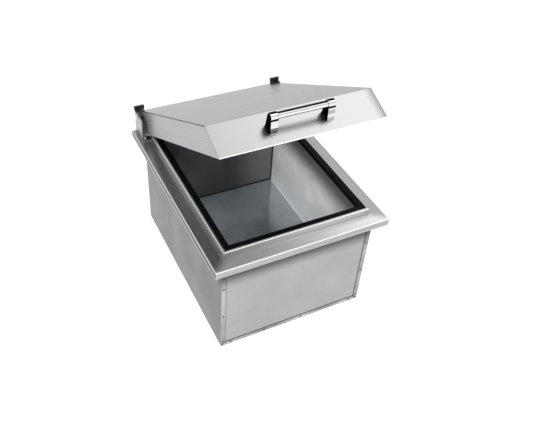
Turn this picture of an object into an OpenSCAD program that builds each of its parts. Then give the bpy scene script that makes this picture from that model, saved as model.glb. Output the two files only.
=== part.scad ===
// Drop-in cooler: an insulated steel tub that hangs by its top flange in a
// counter cut-out, under a sloped lid on two side hinges.
// Origin: centre of the bottom. +X is the user's right, +Y the hinge side, +Z up.

/* [Tub] */
// Inside width of the tub
tub_w = 330; // [200:1:600]
// Inside length of the tub, front to rear
tub_l = 423; // [250:1:700]
// Depth of the tub floor below the deck
tub_depth = 222; // [120:1:350]
// Sheet thickness of the tub
liner_t = 1; // [0.6:0.1:2]
// Width of the flange turned out round the tub's mouth
liner_return = 8; // [5:0.5:9]

/* [Walls] */
// Tub wall to outside face, left and right
side_wall = 26; // [22:0.5:60]
// Tub wall to outside face, front
front_wall = 27; // [22:0.5:60]
// Tub wall to outside face, rear
rear_wall = 52; // [45:0.5:90]
// Tub floor to underside
floor_wall = 66; // [28:0.5:90]
// Sheet thickness of the outer wrap
wrap_t = 1; // [0.6:0.1:2]
// Outside bend radius along the wrap's bottom edges
wrap_bend_r = 2.4; // [2.2:0.1:6]
// Width of the wrap's flanges that lap over the end panels
seam_w = 11; // [6:0.5:20]
// Gap of the mitre between two lapped flanges
mitre_gap = 0.6; // [0.2:0.1:2]
// Width of the wrap's flange turned in below the deck
wrap_return = 8; // [4:0.5:12]
// Sheet thickness of the front and rear panels
panel_t = 1; // [0.6:0.1:2]
// Width of an end panel's flange turned in below the deck
panel_return = 8; // [4:0.5:12]

/* [Flange] */
// Reach of the flange beyond the outer wrap on all sides
flange_reach = 25; // [20:0.5:60]
// Sheet thickness of the deck, its lip and its curb
deck_t = 1.2; // [0.8:0.1:2]
// Height of the turned-down lip
lip_h = 18; // [10:0.5:40]
// Width of the hem turned in at the foot of the lip
lip_return = 10; // [5:0.5:14]
// Outside bend radius where the deck turns down
flange_bend_r = 2.6; // [2.2:0.1:8]
// Height of the curb above the deck
curb_h = 15; // [10:0.5:30]
// Outside bend radius along the top of the curb
curb_bend_r = 2.2; // [2.1:0.1:4]
// Width of the curb's top, turned in towards the opening
curb_return = 5; // [4:0.5:7]

/* [Breaker strips] */
// Outside of the curb to the tub wall, which the strips span
breaker_w = 17; // [15:0.5:30]
// Thickness of a strip's top and skirt
breaker_t = 2.4; // [1.5:0.1:4]
// Depth of the skirt that covers the tub's edge
breaker_skirt = 12; // [6:0.5:25]
// Drop of a strip's top below the top of the curb
breaker_drop = 0.6; // [0.2:0.1:2]
// Edge radius of a strip's top
breaker_nose_r = 1; // [0.5:0.1:1.4]

/* [Lid] */
// Angle of the lid above its closed place
lid_open = 28; // [0:1:97]
// Height of the lid
lid_h = 60; // [45:1:120]
// Run of the sloped front, front to rear
lid_slope_run = 50; // [30:1:90]
// Underside of the lid above the deck when shut
lid_lift = 5; // [3.5:0.5:10]
// Lid side beyond the curb, left and right
lid_side_reach = 7.5; // [6:0.5:9]
// Lid front beyond the curb
lid_front_reach = 26; // [12:0.5:32]
// Sheet thickness of the lid
lid_t = 1; // [0.8:0.1:1.5]
// Outside bend radius of the lid's folds
lid_bend_r = 3; // [2:0.1:8]
// Width of the hems turned in along the lid's front and rear edges
lid_hem = 10; // [6:0.5:14]
// Width of the hems turned in along the lid's side edges
lid_side_hem = 4; // [3:0.2:4.4]
// Width of the side panels' flanges below the skin
lid_tray_flange = 10; // [6:0.5:16]
// Open seam between the skin and the side panels
lid_seam = 0.6; // [0.3:0.1:1.2]
// Sheet thickness of the inner pan
pan_t = 0.8; // [0.6:0.1:1.5]
// Pan's front wall in front of the curb
pan_front_reach = 4; // [3:0.5:8]
// Thickness of the gasket below the pan
gasket_t = 2.7; // [2:0.1:5]
// Width of the gasket
gasket_w = 12; // [8:0.5:14]
// Lid insulation's distance from the skin
lid_foam_inset = 6; // [5:0.5:15]

/* [Hinge] */
// Hinge pin behind which the lid ends
pivot_back = 11; // [9.5:0.5:14]
// Hinge pin below the lid's top
pivot_down = 13; // [10:0.5:16]
// Radius of a hinge pin
pin_r = 4; // [3:0.1:5]
// Radial play of a pin in its bores
pin_play = 0.05; // [0.02:0.01:0.1]
// Radius of a pin's head
pin_head_r = 6.5; // [5.5:0.1:8]
// Height of a pin's head
pin_head_h = 3; // [2:0.1:5]
// Thickness of a pin's nut
pin_nut_h = 4; // [3:0.1:6]
// Radius of a spacer on its pin
spacer_r = 7; // [6:0.1:10]
// Thickness of the stiffening plates inside the lid sides
stiffener_t = 2; // [1:0.1:3]
// Reach of the stiffener in front of the pin
stiffener_front = 18; // [12:0.5:30]
// Reach of the stiffener below the pin
stiffener_low = 18; // [12:0.5:30]

/* [Hinge brackets] */
// Sheet thickness of a bracket
bracket_t = 2; // [1.5:0.1:3]
// Edge of the deck to a bracket's side plate
bracket_edge = 10; // [5:0.5:12]
// Length of a bracket, front to rear
bracket_l = 57; // [46:0.5:90]
// Width of a bracket's rear plate
bracket_wing = 26; // [20:0.5:40]
// Outside bend radius between side and rear plate
bracket_bend_r = 3.4; // [3.1:0.1:6]
// Side plate's top above the hinge pin
bracket_rise = 10; // [8:0.5:20]
// Rear plate in front of which the shut lid ends
bracket_gap = 7; // [6.5:0.5:12]
// Height of the rubber bumper
bumper_h = 10; // [6:0.5:16]
// Wall of the rubber bumper
bumper_t = 2; // [1.5:0.1:3]

/* [Bracket screws] */
// Radius of a bracket screw
screw_r = 2; // [1.5:0.1:2.5]
// Radius of its head
screw_head_r = 4; // [3.5:0.1:4.5]
// Height of its head
screw_head_h = 2.6; // [1.8:0.1:3.5]
// Radius of its nut over the corners
screw_nut_r = 4.04; // [3.8:0.01:4.2]
// Thickness of its nut
screw_nut_h = 3.2; // [2.4:0.1:5]
// First and last screw from a bracket's ends
screw_end = 9; // [7:0.5:14]

/* [Handle] */
// Length of the handle over its posts
handle_l = 144; // [100:1:300]
// Radius of the handle tube
tube_r = 7.2; // [5:0.1:10]
// Wall of the handle tube
tube_wall = 1.5; // [1:0.1:2.5]
// Radius of a ferrule
ferrule_r = 8.8; // [8.2:0.1:13]
// Edge radius of a ferrule
ferrule_edge_r = 1.2; // [0.5:0.1:2]
// Depth of the tube's end in a ferrule
ferrule_socket = 13; // [6:0.5:15]
// Width of a post
post_w = 16; // [14.5:0.5:30]
// Length of a post's base, up the slope
post_base = 26; // [24:0.5:44]
// Tube's axis above the slope
handle_stand = 29.5; // [26:0.5:45]
// Tube's axis in front of the base's upper end
tube_set_in = 4; // [0:0.5:10]
// Base's lower end above the lid's front edge
post_start = 25; // [8:0.5:28]
// Radius of a handle screw
handle_screw_r = 2.5; // [2:0.1:3]
// Radius of its head
handle_screw_head_r = 4.5; // [4:0.1:5.5]
// Height of its head
handle_screw_head_h = 3; // [2:0.1:4]
// Depth of its hole in a post
handle_screw_depth = 8; // [5:0.5:9]
// Screws from the ends of a post's base
handle_screw_end = 7; // [6:0.5:7.5]

/* [Drain] */
// Drain's centre behind the front wall of the tub
drain_from_front = 164; // [40:1:380]
// Radius of the flange on the tub floor
drain_flange_r = 26; // [22:0.5:40]
// Thickness of that flange
drain_flange_t = 2.4; // [2:0.1:5]
// Radius of the drain body
drain_body_r = 15; // [13:0.5:18]
// Wall radius of the half-inch pipe socket
drain_socket_r = 9.3; // [8.6:0.1:11]
// Length of the pipe socket
drain_socket_l = 20; // [12:0.5:26]
// Radius of the throat above the socket
drain_throat_r = 8; // [6:0.1:8.4]
// Radius of the strainer plate
strainer_r = 19; // [17:0.5:21]
// Thickness of the strainer plate
strainer_t = 1.2; // [0.8:0.1:1.6]
// Radius of a strainer hole
strainer_hole_r = 1.5; // [1:0.1:1.8]
// Radius of the locknut over its corners
locknut_r = 23; // [20:0.5:26]
// Thickness of the locknut
locknut_h = 6; // [4:0.5:8]
// Thickness of the sealing washer
drain_washer_t = 2; // [1:0.1:3]

/* [Hidden] */
$fn = 48;

// Sides of a nut and of a small hole
hex_sides = 6;
hole_sides = 24;

// Overrun of a cut beyond the face it opens
over = 1;
// Clearance between pieces that seat on each other
seat_gap = 0.2;
// Clearance between pieces that move past each other
run_gap = 0.3;
// Chamfer of screw heads
head_chamfer = 0.6;
// Depth of the rebate of the lid sides behind the skin's edge
side_rebate = 0.3;

// Outside of the body
box_w = tub_w + 2 * side_wall;
box_l = tub_l + front_wall + rear_wall;
box_rear = box_l / 2;
box_front = -box_rear;
deck_z = floor_wall + tub_depth;
deck_under = deck_z - deck_t;
floor_z = floor_wall;

// Tub mouth
tub_x = tub_w / 2;
tub_front = box_front + front_wall;
tub_rear = box_rear - rear_wall;
tub_mid = (tub_front + tub_rear) / 2;

// Top flange and curb
flange_x = box_w / 2 + flange_reach;
flange_rear = box_rear + flange_reach;
flange_front = -flange_rear;
lip_z = deck_z - lip_h;
curb_x = tub_x + breaker_w;
curb_front = tub_front - breaker_w;
curb_rear = tub_rear + breaker_w;
curb_z = deck_z + curb_h;

// Breaker strips, measured inwards from the curb's outside
breaker_top = curb_z - breaker_drop;
breaker_under = breaker_top - breaker_t;
breaker_inner = breaker_w + breaker_t;
breaker_tongue = max(deck_t + seat_gap, curb_bend_r);
breaker_step = curb_return + seat_gap;
breaker_tongue_top = curb_z - deck_t - seat_gap;
liner_top = breaker_under;

// Insulation
foam_low = wrap_t + seat_gap;
foam_mid = floor_z - liner_t - seat_gap;
foam_top = deck_under - max(wrap_t, panel_t) - seat_gap;
foam_x = box_w / 2 - wrap_t - seat_gap;
foam_in_x = tub_x + liner_t + seat_gap;
foam_front = box_front + wrap_t + panel_t + seat_gap;
foam_rear = -foam_front;

// Hinge brackets, outwards from the middle
bracket_x = flange_x - bracket_edge;
bracket_in_x = bracket_x - bracket_t;
bracket_rear = flange_rear - bumper_t;
bracket_front = bracket_rear - bracket_l;
bracket_rear_in = bracket_rear - bracket_t;
foot_x = curb_x + run_gap + deck_t;
foot_top = deck_z + bracket_t;
screw_x = (box_w / 2 + bracket_in_x) / 2;
screw_ys = [bracket_front + screw_end, bracket_rear_in - screw_end];

// Lid when shut
lid_x = curb_x + lid_side_reach;
lid_rear = bracket_rear_in - bracket_gap;
lid_front = curb_front - lid_front_reach;
lid_z = deck_z + lid_lift;
lid_top = lid_z + lid_h;
slope_angle = atan2(lid_h, lid_slope_run);
slope_l = norm([lid_h, lid_slope_run]);
lid_hem_front = lid_front + slope_l / lid_h * lid_t + lid_hem;
lid_hem_rear = lid_rear - lid_t - lid_hem;

// Lid sides, outwards from the middle
side_out_x = lid_x - side_rebate;
side_in_x = side_out_x - lid_t;
side_hem_x = side_in_x - lid_side_hem;

// Hinge pin
pivot_y = lid_rear - pivot_back;
pivot_z = lid_top - pivot_down;
side_top = pivot_z + bracket_rise;
rear_top = side_top + bumper_h - bumper_t;
nut_x = side_in_x - stiffener_t - run_gap;
pin_end_x = nut_x - pin_nut_h - over;
stiffener_inset = max(lid_bend_r, 2 * lid_t) + seat_gap;

// Inner pan
gasket_z = curb_z + run_gap;
pan_z = gasket_z + gasket_t;
pan_low = lid_z + lid_t;
pan_wall_x = side_hem_x - seat_gap;
pan_wall_front = curb_front - pan_front_reach;
pan_wall_rear = lid_hem_rear - seat_gap;
pan_rim_x = side_in_x - seat_gap;
// Gasket's outer edge inside the curb's outer face
gasket_in = 2;

// Handle, measured up the slope and out from it
tube_at = [post_start + post_base - tube_set_in, handle_stand];
handle_screws_at = [post_start + handle_screw_end, post_start + post_base - handle_screw_end];
// Gap between a ferrule and its post's saddle
saddle_gap = 0.3;

// Drain
drain_y = tub_front + drain_from_front;
// Drain's tail above the underside
drain_tail_z = 0.4;
washer_z = floor_z - liner_t - drain_washer_t;
locknut_z = washer_z - locknut_h;
strainer_ring_shares = [[0, 1], [0.5, 6], [1, 12]];

steel = [0.74, 0.75, 0.76];
bright_steel = [0.86, 0.86, 0.87];
black = [0.05, 0.05, 0.06];
foam = [0.93, 0.86, 0.62];
brass = [0.78, 0.66, 0.36];

// A block between two opposite corners
module block(low, high) {
    translate(low)
        cube(high - low);
}

// An upright rectangle with its two top corners rounded
module crowned(w, h, r) {
    translate([-w / 2, 0])
        square([w, h - r]);
    translate([-w / 2 + r, 0])
        square([w - 2 * r, h]);
    for (side = [-1, 1])
        translate([side * (w / 2 - r), h - r])
            circle(r);
}

// The same with its two bottom corners rounded
module cupped(w, h, r) {
    translate([0, h])
        mirror([0, 1])
            crowned(w, h, r);
}

// A section in X and Z, drawn out along Y
module along_y(from, to) {
    translate([0, to, 0])
        rotate([90, 0, 0])
            linear_extrude(to - from)
                children();
}

// A section in Y and Z, drawn out along X
module along_x(from, to) {
    translate([from, 0, 0])
        rotate([90, 0, 90])
            linear_extrude(to - from)
                children();
}

// A block whose four top edges are bent round, with mitred corners
module bent_block(low, high, r) {
    size = high - low;
    intersection() {
        translate([low[0] + size[0] / 2, 0, low[2]])
            along_y(low[1], high[1])
                crowned(size[0], size[2], r);
        translate([0, low[1] + size[1] / 2, low[2]])
            along_x(low[0], high[0])
                crowned(size[1], size[2], r);
    }
}

// A piece and its mirror image on the other side
module both_sides() {
    children();
    mirror([1, 0, 0])
        children();
}

// A screw or pin head standing on z = 0, chamfered at the top
module round_head(r, h) {
    rotate_extrude()
        polygon([[0, 0], [r, 0], [r, h - head_chamfer], [r - head_chamfer, h], [0, h]]);
}

// A hexagon nut standing on z = 0
module hex_nut(r, h, bore_r) {
    difference() {
        cylinder(h = h, r = r, $fn = hex_sides);
        translate([0, 0, -over])
            cylinder(h = h + 2 * over, r = bore_r);
    }
}

// Flanges lapped over an end panel, mitred at the bottom corners
module lapped_flanges() {
    half = box_w / 2;
    intersection() {
        cupped(box_w, deck_under, wrap_bend_r);
        union() {
            for (side = [-1, 1])
                polygon([
                    [side * half, mitre_gap],
                    [side * (half - seam_w), seam_w + mitre_gap],
                    [side * (half - seam_w), deck_under],
                    [side * half, deck_under]
                ]);
            polygon([
                [-half + mitre_gap, 0],
                [half - mitre_gap, 0],
                [half - seam_w - mitre_gap, seam_w],
                [-half + seam_w + mitre_gap, seam_w]
            ]);
        }
    }
}

module outer_wrap() {
    return_end = foam_rear - panel_return;
    color(steel) {
        difference() {
            along_y(box_front, box_rear)
                cupped(box_w, deck_under, wrap_bend_r);
            along_y(box_front - over, box_rear + over)
                translate([0, wrap_t])
                    cupped(box_w - 2 * wrap_t, deck_under, wrap_bend_r - wrap_t);
            translate([0, drain_y, -over])
                cylinder(h = wrap_t + 2 * over, r = drain_body_r + run_gap);
        }
        along_y(box_front, box_front + wrap_t)
            lapped_flanges();
        along_y(box_rear - wrap_t, box_rear)
            lapped_flanges();
        both_sides()
            block(
                [box_w / 2 - wrap_t - wrap_return, -return_end, deck_under - wrap_t],
                [box_w / 2 - wrap_t / 2, return_end, deck_under]
            );
    }
}

// The front panel; the rear one is its mirror image
module end_panel() {
    half = box_w / 2 - wrap_t - seat_gap;
    front = box_front + wrap_t;
    along_y(front, front + panel_t)
        translate([0, wrap_t])
            cupped(2 * half, deck_under - wrap_t, wrap_bend_r - wrap_t);
    block([-half, front, deck_under - panel_t], [half, front + panel_t + panel_return, deck_under]);
}

module front_panel() {
    color(steel)
        end_panel();
}

module rear_panel() {
    color(steel)
        mirror([0, 1, 0])
            end_panel();
}

// Deck, lip with its hem, and curb, folded from one sheet
module top_flange() {
    color(bright_steel)
        difference() {
            union() {
                difference() {
                    bent_block([-flange_x, flange_front, lip_z], [flange_x, flange_rear, deck_z], flange_bend_r);
                    bent_block(
                        [-flange_x + deck_t, flange_front + deck_t, lip_z + deck_t],
                        [flange_x - deck_t, flange_rear - deck_t, deck_under],
                        flange_bend_r - deck_t
                    );
                    block(
                        [-flange_x + lip_return, flange_front + lip_return, lip_z - over],
                        [flange_x - lip_return, flange_rear - lip_return, lip_z + deck_t + over]
                    );
                }
                bent_block([-curb_x, curb_front, deck_under], [curb_x, curb_rear, curb_z], curb_bend_r);
            }
            bent_block(
                [-curb_x + deck_t, curb_front + deck_t, deck_under - over],
                [curb_x - deck_t, curb_rear - deck_t, curb_z - deck_t],
                curb_bend_r - deck_t
            );
            block(
                [-curb_x + curb_return, curb_front + curb_return, curb_z - deck_t - over],
                [curb_x - curb_return, curb_rear - curb_return, curb_z + over]
            );
            bracket_screw_holes();
        }
}

// Clearance holes through the deck and the brackets' feet
module bracket_screw_holes() {
    both_sides()
        for (y = screw_ys)
            translate([-screw_x, y, deck_under - over])
                cylinder(h = foot_top - deck_under + 2 * over, r = screw_r + seat_gap);
}

module inner_liner() {
    color(steel)
        difference() {
            union() {
                block(
                    [-tub_x - liner_t, tub_front - liner_t, floor_z - liner_t],
                    [tub_x + liner_t, tub_rear + liner_t, liner_top]
                );
                block(
                    [-tub_x - liner_return, tub_front - liner_return, liner_top - liner_t],
                    [tub_x + liner_return, tub_rear + liner_return, liner_top]
                );
            }
            block([-tub_x, tub_front, floor_z], [tub_x, tub_rear, liner_top + over]);
            translate([0, drain_y, floor_z - liner_t - over])
                cylinder(h = liner_t + 2 * over, r = drain_body_r + seat_gap);
        }
}

// Section of a breaker strip: a tongue below the curb's edge, a top and a skirt
module breaker_section() {
    translate([breaker_tongue, breaker_under])
        square([breaker_inner - breaker_tongue, breaker_tongue_top - breaker_under]);
    translate([breaker_step, breaker_under])
        square([breaker_inner - breaker_step, breaker_t - breaker_nose_r]);
    translate([breaker_step + breaker_nose_r, breaker_under])
        square([breaker_inner - breaker_step - 2 * breaker_nose_r, breaker_t]);
    for (u = [breaker_step + breaker_nose_r, breaker_inner - breaker_nose_r])
        translate([u, breaker_top - breaker_nose_r])
            circle(breaker_nose_r);
    translate([breaker_w + seat_gap, breaker_top - breaker_skirt])
        square([breaker_t - seat_gap, breaker_skirt - breaker_nose_r]);
}

// Keeps what lies between two mitres that start at the curb's corners
module mitred_end(from, to) {
    reach = breaker_inner + over;
    intersection() {
        children();
        translate([0, 0, breaker_top - breaker_skirt - over])
            linear_extrude(breaker_skirt + 2 * over)
                polygon([
                    from,
                    to,
                    to + [-sign(to[0]) * reach, -sign(to[1] - tub_mid) * reach],
                    from + [-sign(from[0]) * reach, -sign(from[1] - tub_mid) * reach]
                ]);
    }
}

module breaker_strip_front() {
    color(black)
        mitred_end([-curb_x, curb_front], [curb_x, curb_front])
            along_x(-curb_x, curb_x)
                translate([curb_front, 0])
                    breaker_section();
}

module breaker_strip_rear() {
    color(black)
        mitred_end([-curb_x, curb_rear], [curb_x, curb_rear])
            along_x(-curb_x, curb_x)
                translate([curb_rear, 0])
                    mirror([1, 0])
                        breaker_section();
}

// The left strip; the right one is its mirror image
module breaker_strip_side() {
    mitred_end([-curb_x, curb_front], [-curb_x, curb_rear])
        along_y(curb_front, curb_rear)
            translate([-curb_x, 0])
                breaker_section();
}

module breaker_strip_left() {
    color(black)
        breaker_strip_side();
}

module breaker_strip_right() {
    color(black)
        mirror([1, 0, 0])
            breaker_strip_side();
}

module insulation_bottom() {
    color(foam)
        difference() {
            along_y(foam_front, foam_rear)
                translate([0, foam_low])
                    cupped(2 * foam_x, foam_mid - foam_low, wrap_bend_r - wrap_t);
            translate([0, drain_y, foam_low - over])
                cylinder(h = foam_mid - foam_low + 2 * over, r = drain_body_r + run_gap);
            translate([0, drain_y, locknut_z - run_gap])
                cylinder(h = floor_z, r = max(locknut_r, drain_flange_r) + run_gap);
        }
}

// The left board; the right one is its mirror image
module insulation_side() {
    block([-foam_x, foam_front, foam_mid + seat_gap], [-foam_in_x, foam_rear, foam_top]);
}

module insulation_left() {
    color(foam)
        insulation_side();
}

module insulation_right() {
    color(foam)
        mirror([1, 0, 0])
            insulation_side();
}

module insulation_front() {
    half = foam_in_x - seat_gap;
    color(foam)
        block(
            [-half, foam_front, foam_mid + seat_gap],
            [half, tub_front - liner_t - seat_gap, foam_top]
        );
}

module insulation_rear() {
    half = foam_in_x - seat_gap;
    color(foam)
        block(
            [-half, tub_rear + liner_t + seat_gap, foam_mid + seat_gap],
            [half, foam_rear, foam_top]
        );
}

// Plan of a bracket's side: a rectangle with its outer rear corner rounded
module bracket_corner(w, l, r) {
    square([w, l - r]);
    translate([r, 0])
        square([w - r, l]);
    translate([r, l - r])
        circle(r);
}

// The left bracket: side plate, rear plate and foot, folded from one sheet
module hinge_bracket() {
    difference() {
        union() {
            translate([-bracket_x, bracket_front, deck_z])
                linear_extrude(rear_top - deck_z)
                    difference() {
                        bracket_corner(bracket_wing, bracket_l, bracket_bend_r);
                        translate([bracket_t, -over])
                            bracket_corner(
                                bracket_wing,
                                bracket_l + over - bracket_t,
                                bracket_bend_r - bracket_t
                            );
                    }
            block([-bracket_x, bracket_front, deck_z], [-foot_x, bracket_rear_in, foot_top]);
        }
        block(
            [-bracket_x - over, bracket_front - over, side_top],
            [-bracket_in_x + over, bracket_rear_in, rear_top + over]
        );
        translate([-bracket_x - over, pivot_y, pivot_z])
            rotate([0, 90, 0])
                cylinder(h = bracket_t + 2 * over, r = pin_r + pin_play);
        bracket_screw_holes();
    }
}

module hinge_bracket_left() {
    color(bright_steel)
        hinge_bracket();
}

module hinge_bracket_right() {
    color(bright_steel)
        mirror([1, 0, 0])
            hinge_bracket();
}

// Rubber channel on the upper edge of the left bracket's rear plate
module bumper() {
    low = side_top + seat_gap;
    difference() {
        block(
            [-bracket_x, bracket_rear_in - bumper_t, low],
            [-bracket_x + bracket_wing, bracket_rear + bumper_t, side_top + bumper_h]
        );
        block(
            [-bracket_x - over, bracket_rear_in - seat_gap / 2, low - over],
            [-bracket_x + bracket_wing + over, bracket_rear + seat_gap / 2, rear_top]
        );
    }
}

module bumper_left() {
    color(black)
        bumper();
}

module bumper_right() {
    color(black)
        mirror([1, 0, 0])
            bumper();
}

module bracket_screws() {
    color(bright_steel)
        both_sides()
            for (y = screw_ys)
                translate([-screw_x, y, 0]) {
                    translate([0, 0, foot_top])
                        round_head(screw_head_r, screw_head_h);
                    translate([0, 0, deck_under - screw_nut_h - over])
                        cylinder(h = foot_top - deck_under + screw_nut_h + 2 * over, r = screw_r);
                }
}

module bracket_nuts() {
    color(steel)
        both_sides()
            for (y = screw_ys)
                translate([-screw_x, y, deck_under - screw_nut_h])
                    hex_nut(screw_nut_r, screw_nut_h, screw_r + pin_play);
}

// Places a piece that stands on z = 0 on the left hinge's axis, at x, facing in
module on_hinge(x) {
    translate([-x, pivot_y, pivot_z])
        rotate([0, 90, 0])
            children();
}

module hinge_pins() {
    color(bright_steel)
        both_sides() {
            on_hinge(bracket_x)
                mirror([0, 0, 1])
                    round_head(pin_head_r, pin_head_h);
            on_hinge(bracket_x + head_chamfer)
                cylinder(h = bracket_x + head_chamfer - pin_end_x, r = pin_r);
        }
}

module hinge_spacers() {
    long = bracket_in_x - side_out_x - run_gap;
    color(black)
        both_sides()
            on_hinge(bracket_in_x)
                difference() {
                    cylinder(h = long, r = spacer_r);
                    translate([0, 0, -over])
                        cylinder(h = long + 2 * over, r = pin_r + pin_play);
                }
}

module hinge_nuts() {
    color(steel)
        both_sides()
            on_hinge(nut_x)
                hex_nut(pin_head_r, pin_nut_h, pin_r + pin_play);
}

// Drain body: a floor flange, a stem down to the underside and a pipe socket
module drain_body() {
    rim_z = floor_z + drain_flange_t;
    seat_z = rim_z - strainer_t;
    socket_z = drain_tail_z + drain_socket_l;
    color(brass)
        translate([0, drain_y, 0])
            rotate_extrude()
                polygon([
                    [drain_socket_r, drain_tail_z],
                    [drain_body_r, drain_tail_z],
                    [drain_body_r, floor_z],
                    [drain_flange_r, floor_z],
                    [drain_flange_r, rim_z - head_chamfer],
                    [drain_flange_r - head_chamfer, rim_z],
                    [strainer_r + seat_gap, rim_z],
                    [strainer_r + seat_gap, seat_z],
                    [drain_throat_r, seat_z],
                    [drain_throat_r, socket_z],
                    [drain_socket_r, socket_z]
                ]);
}

module drain_strainer() {
    color(bright_steel)
        translate([0, drain_y, floor_z + drain_flange_t - strainer_t])
            difference() {
                cylinder(h = strainer_t, r = strainer_r);
                for (ring = strainer_ring_shares)
                    for (i = [0:ring[1] - 1])
                        rotate([0, 0, i * 360 / ring[1]])
                            translate([ring[0] * (drain_throat_r - strainer_hole_r), 0, -over])
                                cylinder(h = strainer_t + 2 * over, r = strainer_hole_r, $fn = hole_sides);
            }
}

module drain_washer() {
    color(black)
        translate([0, drain_y, washer_z])
            difference() {
                cylinder(h = drain_washer_t, r = locknut_r);
                translate([0, 0, -over])
                    cylinder(h = drain_washer_t + 2 * over, r = drain_body_r + seat_gap);
            }
}

module drain_locknut() {
    color(brass)
        translate([0, drain_y, locknut_z])
            hex_nut(locknut_r, locknut_h, drain_body_r + pin_play);
}

// Turns the lid about its hinge pins from shut to its place
module lid_pose() {
    translate([0, pivot_y, pivot_z])
        rotate([-lid_open, 0, 0])
            translate([0, -pivot_y, -pivot_z])
                children();
}

// Side view of the lid, inset from its outer faces and cut off at a floor
module lid_section(inset, low) {
    r = max(lid_bend_r - inset, 0);
    rear = lid_rear - inset;
    top = lid_top - inset;
    shift = slope_l / lid_h * inset;
    fold_y = lid_front + shift + (top - lid_z) * lid_slope_run / lid_h;
    low_y = lid_front + shift + (low - lid_z) * lid_slope_run / lid_h;
    tangent = r * tan(slope_angle / 2);
    polygon([
        [rear, low],
        [rear, top - r],
        [rear - r, top],
        [fold_y + tangent, top],
        [fold_y - tangent * cos(slope_angle), top - tangent * sin(slope_angle)],
        [low_y, low]
    ]);
    if (r > 0) {
        translate([rear - r, top - r])
            circle(r);
        translate([fold_y + tangent, top - r])
            circle(r);
    }
}

// Top, sloped front and rear of the lid, with hems along the lower edges
module lid_skin() {
    color(bright_steel)
        lid_pose()
            difference() {
                along_x(-lid_x, lid_x)
                    difference() {
                        lid_section(0, lid_z);
                        lid_section(lid_t, lid_z + lid_t);
                        translate([lid_hem_front, lid_z - over])
                            square([lid_hem_rear - lid_hem_front, lid_t + 2 * over]);
                    }
                slope_frame()
                    handle_screw_bores(-lid_t - over, lid_t + 2 * over, handle_screw_r + seat_gap);
                side_corner_relief();
            }
}

// The skin's hems stop short of the side panels
module side_corner_relief() {
    both_sides()
        block(
            [-lid_x - over, lid_front + slope_l / lid_h * lid_t, lid_z - over],
            [-side_hem_x + seat_gap, lid_rear - lid_t, lid_z + lid_t]
        );
}

// The left side panel: a shallow tray with flanges below the skin
module lid_side() {
    grip = lid_t / 2;
    lid_pose() {
        difference() {
            union() {
                along_x(-side_out_x, -side_in_x)
                    lid_section(lid_t + lid_seam, lid_z);
                along_x(-side_in_x - grip, -side_in_x + lid_tray_flange)
                    difference() {
                        lid_section(lid_t, lid_z + lid_t);
                        lid_section(2 * lid_t, lid_z + lid_t - over);
                    }
            }
            translate([-lid_x, pivot_y, pivot_z])
                rotate([0, 90, 0])
                    cylinder(h = lid_x - side_in_x + over, r = pin_r + pin_play);
        }
        block(
            [-side_in_x - grip, lid_front + lid_hem, lid_z],
            [-side_hem_x, lid_rear - 2 * lid_t - seat_gap, lid_z + lid_t]
        );
    }
}

module lid_side_left() {
    color(bright_steel)
        lid_side();
}

module lid_side_right() {
    color(bright_steel)
        mirror([1, 0, 0])
            lid_side();
}

// Plates behind the lid sides that carry the hinge pins
module lid_stiffeners() {
    color(steel)
        both_sides()
            lid_pose()
                difference() {
                    block(
                        [-side_in_x, pivot_y - stiffener_front, pivot_z - stiffener_low],
                        [-side_in_x + stiffener_t, lid_rear - stiffener_inset, lid_top - stiffener_inset]
                    );
                    translate([-side_in_x - over, pivot_y, pivot_z])
                        rotate([0, 90, 0])
                            cylinder(h = stiffener_t + 2 * over, r = pin_r + pin_play);
                }
}

// The pan closes the lid from below and clears the curb
module lid_inner_pan() {
    rim_front = lid_front + slope_l / lid_h * 2 * lid_t + lid_slope_run / lid_h * (lid_t + pan_t) + seat_gap;
    color(steel)
        lid_pose()
            difference() {
                union() {
                    block(
                        [-pan_wall_x, pan_wall_front - pan_t, pan_low],
                        [pan_wall_x, pan_wall_rear, pan_z + pan_t]
                    );
                    block(
                        [-pan_rim_x, rim_front, pan_low],
                        [pan_rim_x, lid_rear - 2 * lid_t - seat_gap, pan_low + pan_t]
                    );
                }
                block(
                    [-pan_wall_x + pan_t, pan_wall_front, pan_low - over],
                    [pan_wall_x - pan_t, pan_wall_rear - pan_t, pan_z]
                );
            }
}

module lid_insulation() {
    half = nut_x - pin_nut_h - lid_foam_inset;
    color(foam)
        lid_pose()
            along_x(-half, half)
                lid_section(lid_foam_inset, pan_z + pan_t + seat_gap);
}

module lid_gasket() {
    outer = [curb_x - gasket_in, curb_front + gasket_in, curb_rear - gasket_in];
    color(black)
        lid_pose()
            difference() {
                block([-outer[0], outer[1], gasket_z], [outer[0], outer[2], pan_z]);
                block(
                    [-outer[0] + gasket_w, outer[1] + gasket_w, gasket_z - over],
                    [outer[0] - gasket_w, outer[2] - gasket_w, pan_z + over]
                );
            }
}

// Y runs up the slope of the lid and Z stands out from it
module slope_frame() {
    translate([0, lid_front, lid_z])
        rotate([slope_angle, 0, 0])
            children();
}

// Bores or screws on the handle screws' axes, from a height above the slope
module handle_screw_bores(z, h, r) {
    both_sides()
        for (y = handle_screws_at)
            translate([-handle_l / 2 + post_w / 2, y, z])
                cylinder(h = h, r = r);
}

// Point where a line from p touches a circle round c, to one side
function touch(p, c, r, side) =
    let (
        away = p - c,
        angle = atan2(away[1], away[0]) + side * acos(r / norm(away))
    )
    c + r * [cos(angle), sin(angle)];

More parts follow.
